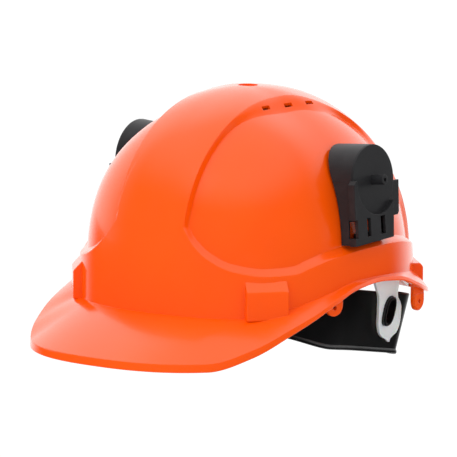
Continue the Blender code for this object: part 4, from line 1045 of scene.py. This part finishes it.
def rear_stations():
    out, mid, half = REAR_OUT, REAR_ACROSS, KEY_W / 2
    off = (PLATE_GAP + PLATE_HALF) / math.cos(BAND_TAPER)
    rows = [(out, REAR_Z[1] - 1.5, mid, half - 1.5, 0), (out, REAR_Z[1] - 3, mid, half, 0),
            (out, 5.4, mid, half, 0), (out, 4.0, mid + .3, 14.2, .2),
            (out - .6, 2.0, mid + 1.6, 14.2, .6), (out - 2.0, -3.0, mid + 4.4, 13.0, .6)]
    for z, across, width in REAR_PLATE:
        x = BAND_A + (z - band_z(LEAN_Y)) * math.tan(BAND_TAPER) + off
        rows.append((x, z, across, width, .6 if z > -40 else .2))
    return rows


def front_stations():
    out, mid, half, (low, top) = FRONT_OUT, FRONT_ACROSS, KEY_W / 2, FRONT_Z
    near, foot = TOUCH_OUT + PLATE_GAP + PLATE_HALF, TOUCH_ACROSS
    return [(out, top - 1.5, mid, half - 1.5, 0), (out, top - 3, mid, half, 0),
            (out, low - 0.5, mid, half, 0), (out - 1.2, low - 2.5, mid, 13.5, .3),
            (near + 3.0, 6.6, foot, 13.0, .5), (near + .5, 5.2, foot, 12.6, .6),
            (near, 3.4, foot, 12.6, .6), (near, -3.0, foot, 13.5, .6),
            (near, -12.0, foot, 13.3, .6), (near, -18.0, foot, 11.0, .6),
            (near, -20.8, foot, 7.5, .4), (near, -22.2, foot, 3.0, .2)]


def hanger(end, side, stations, axes):
    name = "%s_%s" % (end, side)
    plate = ribbon("hanger_plate_" + name, stations, axes)
    boolean(plate, stud_hole(end, side, 64, -4, 9))
    finish_piece(plate, M_HANGER, "hanger_" + name, angle=30)


for side, sign in SIDES:
    hanger("rear", side, rear_stations(), side_axes(math.pi / 2, sign))
    hanger("front", side, front_stations(), side_axes(FRONT_TURN, sign))
    stud("rear", side)
    stud("front", side)

# ---------------------------------------------------------------- crown straps
STRAP_Z_FRONT, STRAP_Z_REAR = 7.5, 6.0
STRAP_POW = 2.3
RIB_H, RIB_PITCH = 0.09, 1.65
STITCH_X, STITCH_FROM, STITCH_TO = 6.5, 5.0, 17.0  # box stitch: half width, span from the end
# webbing section, top half from the right edge: (across, thickness), grooved near each edge
WEB_SIDE = [(9.8, .35), (9.2, .48), (8.2, .5), (7.8, .42), (7.4, .5), (3, .5)]
WEB_TOP = WEB_SIDE + [(-x, y) for x, y in reversed(WEB_SIDE)]
WEB_SECTION = [(-10, 0)] + [(-x, -y) for x, y in WEB_TOP] + [(10, 0)] + WEB_TOP


def web_frame(line, across, i):
    """Direction along the strap and its upward normal at point i."""
    a, b = line[max(i - 1, 0)], line[min(i + 1, len(line) - 1)]
    along = Vector(b - a).normalized()
    normal = across.cross(along).normalized()
    if normal.z < 0:
        normal = -normal
    return along, normal


def stitch_places(start, end):
    """(across, along) of the stitches of one box."""
    points = []
    for x in (-STITCH_X, STITCH_X):
        points += [(x, q) for q in np.arange(start, end + .1, 2.4)]
    for q in (start, end):
        points += [(x, q) for x in np.arange(-STITCH_X + 2.2, STITCH_X - 2.0, 2.2)]
    return points


def stitch(centre, along, other, normal):
    rings = []
    for k in range(7):
        u = -0.8 + 1.6 * k / 6
        r = 0.2 * math.sqrt(max(0.05, 1 - (u / 0.85) ** 2))
        rings.append([centre + along * u + other * (r * math.cos(g)) + normal * (r * math.sin(g))
                      for g in [2 * math.pi * j / 8 for j in range(8)]])
    return loft(rings)


def crown_strap(which, sign, top_z):
    """Strap from the front socket on one side over the crown to the other side's rear socket."""
    _, across, _, out = side_axes(FRONT_TURN, 1)
    foot = out * (FRONT_OUT - 5.2) + across * FRONT_ACROSS
    start = Vector((sign * foot.x, foot.y, 0))
    end = Vector((-sign * (REAR_OUT - 11.2), REAR_ACROSS, 0))
    mid, half = (start + end) / 2, (end - start) / 2
    flat = half.normalized()
    across = Vector((-flat.y, flat.x, 0))
    fine = []
    for i in range(2001):
        t = -math.cos(math.pi * i / 2000)
        z = STRAP_Z_FRONT + (STRAP_Z_REAR - STRAP_Z_FRONT) * (t + 1) / 2
        arch = (1 - abs(t) ** STRAP_POW) ** (1 / STRAP_POW)
        fine.append(mid + half * t + EZ * (z + (top_z - z) * arch))
    fine = np.array([tuple(v) for v in fine])
    s = np.concatenate([[0], np.cumsum(np.linalg.norm(np.diff(fine, axis=0), axis=1))])
    count = int(s[-1] / 0.55)
    places = np.linspace(0, s[-1], count + 1)
    line = np.stack([np.interp(places, s, fine[:, k]) for k in range(3)], -1)
    rings = []
    for i in range(count + 1):
        _, normal = web_frame(line, across, i)
        rib = RIB_H * math.sin(2 * math.pi * places[i] / RIB_PITCH)
        centre = Vector(line[i])
        ring = []
        for x, y in WEB_SECTION:
            k = rib if abs(x) < 9 and abs(abs(x) - 7.8) > 0.1 else 0
            ring.append(centre + across * x + normal * (y + math.copysign(k, y) if y else y))
        rings.append(ring)
    name = "crown_web_" + which
    finish_piece(loft(rings, name), M_WEB, "crown_strap_" + which,
                 angle=60, weighted=False)

    stitches = []
    for q0, q1 in ((STITCH_FROM, STITCH_TO), (places[-1] - STITCH_TO, places[-1] - STITCH_FROM)):
        for x, q in stitch_places(q0, q1):
            i = int(np.searchsorted(places, q))
            along, normal = web_frame(line, across, i)
            pair = (along, across) if abs(abs(x) - STITCH_X) < .1 else (across, along)
            for face in (1, -1):
                centre = Vector(line[i]) + across * x + normal * (face * 0.62)
                stitches.append(stitch(centre, *pair, normal))
    finish_piece(joined(stitches, name + "_stitches"), M_THREAD,
                 angle=60, weighted=False)


crown_strap("upper", 1, 98.2)
crown_strap("lower", -1, 94.4)

# ---------------------------------------------------------------- pads
BROW_CELLS, NAPE_CELLS = 9, 3
NAPE_PAD_ANGLE = math.radians(12.3)    # half its spread


def pillow(half, thick, full, edge):
    """Padded (out, height) section: flat back, face swelling inwards; full is 0..1."""
    out = []
    for i in range(23):
        h = -half + 2 * half * i / 22
        swell = 1 - abs(h / half) ** 2.6
        out.append((-(edge + (thick - edge) * full * max(swell, 0) ** 0.6), h))
    return (out + [(-edge * .5, half + .25), (0, half - .1)]
            + [(0, half * c) for c in (.6, .2, -.2, -.6)]
            + [(0, -half + .1), (-edge * .5, -half - .25)])


def quilt(cells, end, seam_from, dip):
    """Fullness at a place counted in cells, and the narrowing towards the pad's end."""
    seam = abs(cells % 1.0 - 0.5) * 2          # 1 on a sewn channel
    full = 1 - dip * max(0.0, (seam - seam_from) / (1 - seam_from)) ** 2
    taper = max(0.0, 1 - end) ** 2
    return full * math.sqrt(max(0.02, 1 - taper)), taper


def finish_pad(pad, node):
    finish_piece(pad, M_FOAM, node, angle=55, weighted=False)


def brow_pad():
    line = [(x, y) for x, y in BAND_PATH if y < -6]
    arc = np.concatenate([[0], np.cumsum([math.hypot(b[0] - a[0], b[1] - a[1])
                                          for a, b in zip(line, line[1:])])])
    length = arc[-1]
    places = np.linspace(0, length, int(length / 1.3))
    xs, ys = (np.interp(places, arc, [p[k] for p in line]) for k in range(2))

    def section(i, _x, _y):
        s = places[i]
        full, taper = quilt(s / (length / BROW_CELLS), min(s, length - s) / 9.0, 0.72, 0.55)
        return [(d - BAND_T - 2.7, h) for d, h in pillow(12.6 - 3.2 * taper, 3.0, full, 0.9)]

    finish_pad(sweep("brow_pad_cover", list(zip(xs, ys)), section), "brow_pad")


def nape_pad():
    spread = 2 * NAPE_PAD_ANGLE
    rings = []
    for i in range(61):
        a = -NAPE_PAD_ANGLE + spread * i / 60
        s = (a + NAPE_PAD_ANGLE) / spread
        full, taper = quilt(s * NAPE_CELLS, min(s, 1 - s) * spread * NAPE_R / 7.0, 0.75, 0.5)
        rings.append([nape_point(NAPE_R - 3.85 + d, a, h)
                      for d, h in pillow(13.1 - 3.0 * taper, 5.2, full, 1.4)])
    finish_pad(loft(rings, "nape_pad_cover"), "nape_pad")


brow_pad()
nape_pad()

# ---------------------------------------------------------------- ratchet
COVER_X, COVER_H = 27.0, 14.2          # half sizes
# knob: radius, out, depth of the twelve grip lobes
KNOB = ((4.1, 7.3, 0), (6.6, 7.3, 0), (7.0, 7.6, 0), (7.0, 9.8, 0), (14.0, 9.8, .2),
        (16.9, 9.8, .8), (17.4, 10.1, .9), (17.6, 10.7, .9), (17.6, 14.0, .9), (17.6, 17.6, .9),
        (17.35, 18.3, .9), (16.8, 18.8, .85), (16.0, 19.0, .75), (14.2, 19.0, .4),
        (13.4, 18.7, .2), (13.0, 18.2, 0), (12.0, 18.0, 0), (8.0, 18.1, 0), (4.0, 18.3, 0),
        (.6, 18.35, 0))


def ratchet_cover():
    cover = bevel(prism(round_rect(COVER_X, COVER_H, 4.0, 6), 1.9, 4.1, NAPE_AXES,
                        "ratchet_cover"), 0.6, 2, 40)
    for z0, z1 in ((10.9, COVER_H - .02), (-COVER_H + .02, -10.9)):
        unite(cover, box((-COVER_X + 4, z0, -1.5), (COVER_X - 4, z1, 2.5), NAPE_AXES))
    unite(cover, bevel(prism(circle(16.0, 96), 3.0, 9.4, NAPE_AXES), 0.6, 2, 40))
    teeth = []                         # ratchet ring inside the round housing
    for i in range(20):
        a = 2 * math.pi * i / 20
        teeth += [(12.9 * math.cos(a), 12.9 * math.sin(a)),
                  (13.9 * math.cos(a + .27), 13.9 * math.sin(a + .27))]
    boolean(cover, joined([prism(teeth, 4.1, 12.0, NAPE_AXES),
                           prism(circle(4.3, 32), 0.0, 4.5, NAPE_AXES)]))
    finish_piece(cover, M_BAND, "ratchet_housing")


def knob():
    origin, across, up, out = NAPE_AXES
    rings = [[origin + across * ((r + lobe * math.cos(12 * a)) * math.cos(a))
              + up * ((r + lobe * math.cos(12 * a)) * math.sin(a)) + out * d
              for a in [2 * math.pi * k / 144 for k in range(144)]] for r, d, lobe in KNOB]
    finish_piece(loft(rings, "knob_grip"), M_BAND, "ratchet_knob",
                 body="ratchet_drive", angle=35)


ratchet_cover()
knob()

# CAD pieces that keep their shape: node, material, bevel width
for node, material, width in (("ratchet_backplate", M_BAND, .3), ("ratchet_pinion", M_STRAP, .15),
                              ("ratchet_pawl", M_PAWL, .2), ("nape_strap_left", M_STRAP, .15),
                              ("nape_strap_right", M_STRAP, .15)):
    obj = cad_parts[node]
    if not obj.material_slots:
        obj.data.materials.append(material)
    obj.material_slots[0].material = material
    for face in obj.data.polygons:
        face.use_smooth = False
    mod = obj.modifiers.new("edge", 'BEVEL')
    mod.width, mod.segments = width * MM, 2
    mod.limit_method, mod.angle_limit = 'ANGLE', math.radians(40)
    mod.harden_normals = False


# ---------------------------------------------------------------- floor, world, camera, light
WHITE = (1, 1, 1)
BACKDROP = 1.05                        # strength of floor and world as the camera sees them
DARK = 0.012                           # the dark studio seen in reflections


def floor_material():
    """White to the camera, diffuse to other rays, clear from below."""
    material, t = new_material("floor_white")
    camera_ray = t.node("ShaderNodeLightPath", out="Is Camera Ray")
    from_below = t.node("ShaderNodeNewGeometry", out="Backfacing")
    shade = t.add(0.86, t.mul(t.noise(t.coords(), scale=3.0, detail=3.0), 0.02))
    glossy_ray = t.node("ShaderNodeLightPath", out="Is Glossy Ray")
    diffuse = t.node("ShaderNodeBsdfDiffuse", Color=t.mix(shade, (0.0, 0.0, 0.0),
                                                          (0.95, 0.95, 0.95)))
    # reflections see a dark floor, white only in the grazing directions behind the object
    away = t.dot(t.node("ShaderNodeNewGeometry", out="Incoming"), TO_CAMERA)
    grazing = t.node("ShaderNodeEmission", Color=WHITE,
                     Strength=t.add(DARK, t.mul(t.ramp(away, start=0.55, end=0.93), 1.25)))
    seen = t.node("ShaderNodeMixShader", i0=glossy_ray, i1=diffuse, i2=grazing)
    glow = t.node("ShaderNodeEmission", Color=WHITE, Strength=BACKDROP)
    clear = t.node("ShaderNodeBsdfTransparent")
    seen = t.node("ShaderNodeMixShader", i0=camera_ray, i1=seen, i2=glow)
    t.output(t.node("ShaderNodeMixShader", i0=from_below, i1=seen, i2=clear))
    return material


def build_floor():
    material = floor_material()
    mesh = bpy.data.meshes.new("floor")
    mesh.from_pydata([(-6, -6, 0), (6, -6, 0), (6, 6, 0), (-6, 6, 0)], [], [(0, 1, 2, 3)])
    mesh.transform(Matrix.Translation((0, 0, min(CAD_BOX[0][2], 0) - 0.0008)))
    mesh.materials.append(material)
    add_object("floor", mesh)


def build_world():
    world = bpy.data.worlds.new("studio")
    bpy.context.scene.world = world
    world.use_nodes = True
    t = Tree(world.node_tree)
    direction = t.node("ShaderNodeTexCoord", out="Generated")
    height = t.node("ShaderNodeSeparateXYZ", i0=direction).node.outputs[2]
    toward = t.dot(direction, TO_CAMERA)
    left = t.dot(direction, (-RIGHT * 0.55 + UP * 0.75 + TO_CAMERA * 0.35).normalized())
    # reflections: a soft patch overhead and a bright wall behind the object
    over = t.ramp(height, start=0.46, end=0.86)
    wall = t.sub(1.0, t.ramp(toward, start=-0.55, end=0.15))
    bright = t.math('MAXIMUM', t.mul(over, 0.66), wall)
    reflected = t.add(DARK, t.mul(bright, 1.3))
    # fill light, stronger from the upper left of the view
    fill = t.add(0.87, t.mul(t.ramp(left, start=-0.2, end=1.0), 0.35))
    rays = t.node("ShaderNodeLightPath").node.outputs

    def choose(ray, inside, otherwise):
        return t.add(t.mul(ray, inside), t.mul(t.sub(1.0, ray), otherwise))

    strength = choose(rays["Is Glossy Ray"], reflected, fill)
    strength = choose(rays["Is Camera Ray"], BACKDROP, strength)
    t.output(t.node("ShaderNodeBackground", Color=WHITE, Strength=strength),
             "ShaderNodeOutputWorld")


def build_camera():
    origin = SHIFT * MM
    right = RIGHT * math.cos(CAM_ROLL) - UP * math.sin(CAM_ROLL)
    up = RIGHT * math.sin(CAM_ROLL) + UP * math.cos(CAM_ROLL)
    aim = origin + (right * AIM_RIGHT + up * AIM_UP) * MM
    place = origin + TO_CAMERA * CAM_DIST
    z_axis = (place - aim).normalized()
    x_axis = (right - z_axis * right.dot(z_axis)).normalized()
    data = bpy.data.cameras.new("camera")
    data.sensor_width = 36.0
    data.lens = CAM_LENS
    data.clip_end = 100
    camera = add_object("camera", data)
    matrix = Matrix((x_axis, z_axis.cross(x_axis), z_axis)).transposed().to_4x4()
    matrix.translation = place
    camera.matrix_world = matrix
    bpy.context.scene.camera = camera
    bpy.context.scene.view_settings.view_transform = 'Standard'


def key_light():
    """Large lamp above and to the left of the view, kept out of reflections."""
    target = (Vector(CAD_BOX[0]) + Vector(CAD_BOX[1])) / 2
    place = target - RIGHT * 1.1 + TO_CAMERA + EZ * 1.5
    data = bpy.data.lights.new("key", 'AREA')
    data.size, data.energy = 0.9, 9.0  # m, W
    lamp = add_object("key", data)
    lamp.location = place
    lamp.rotation_euler = (place - target).to_track_quat('Z', 'Y').to_euler()
    lamp.visible_glossy = False


build_floor()
build_world()
build_camera()
key_light()
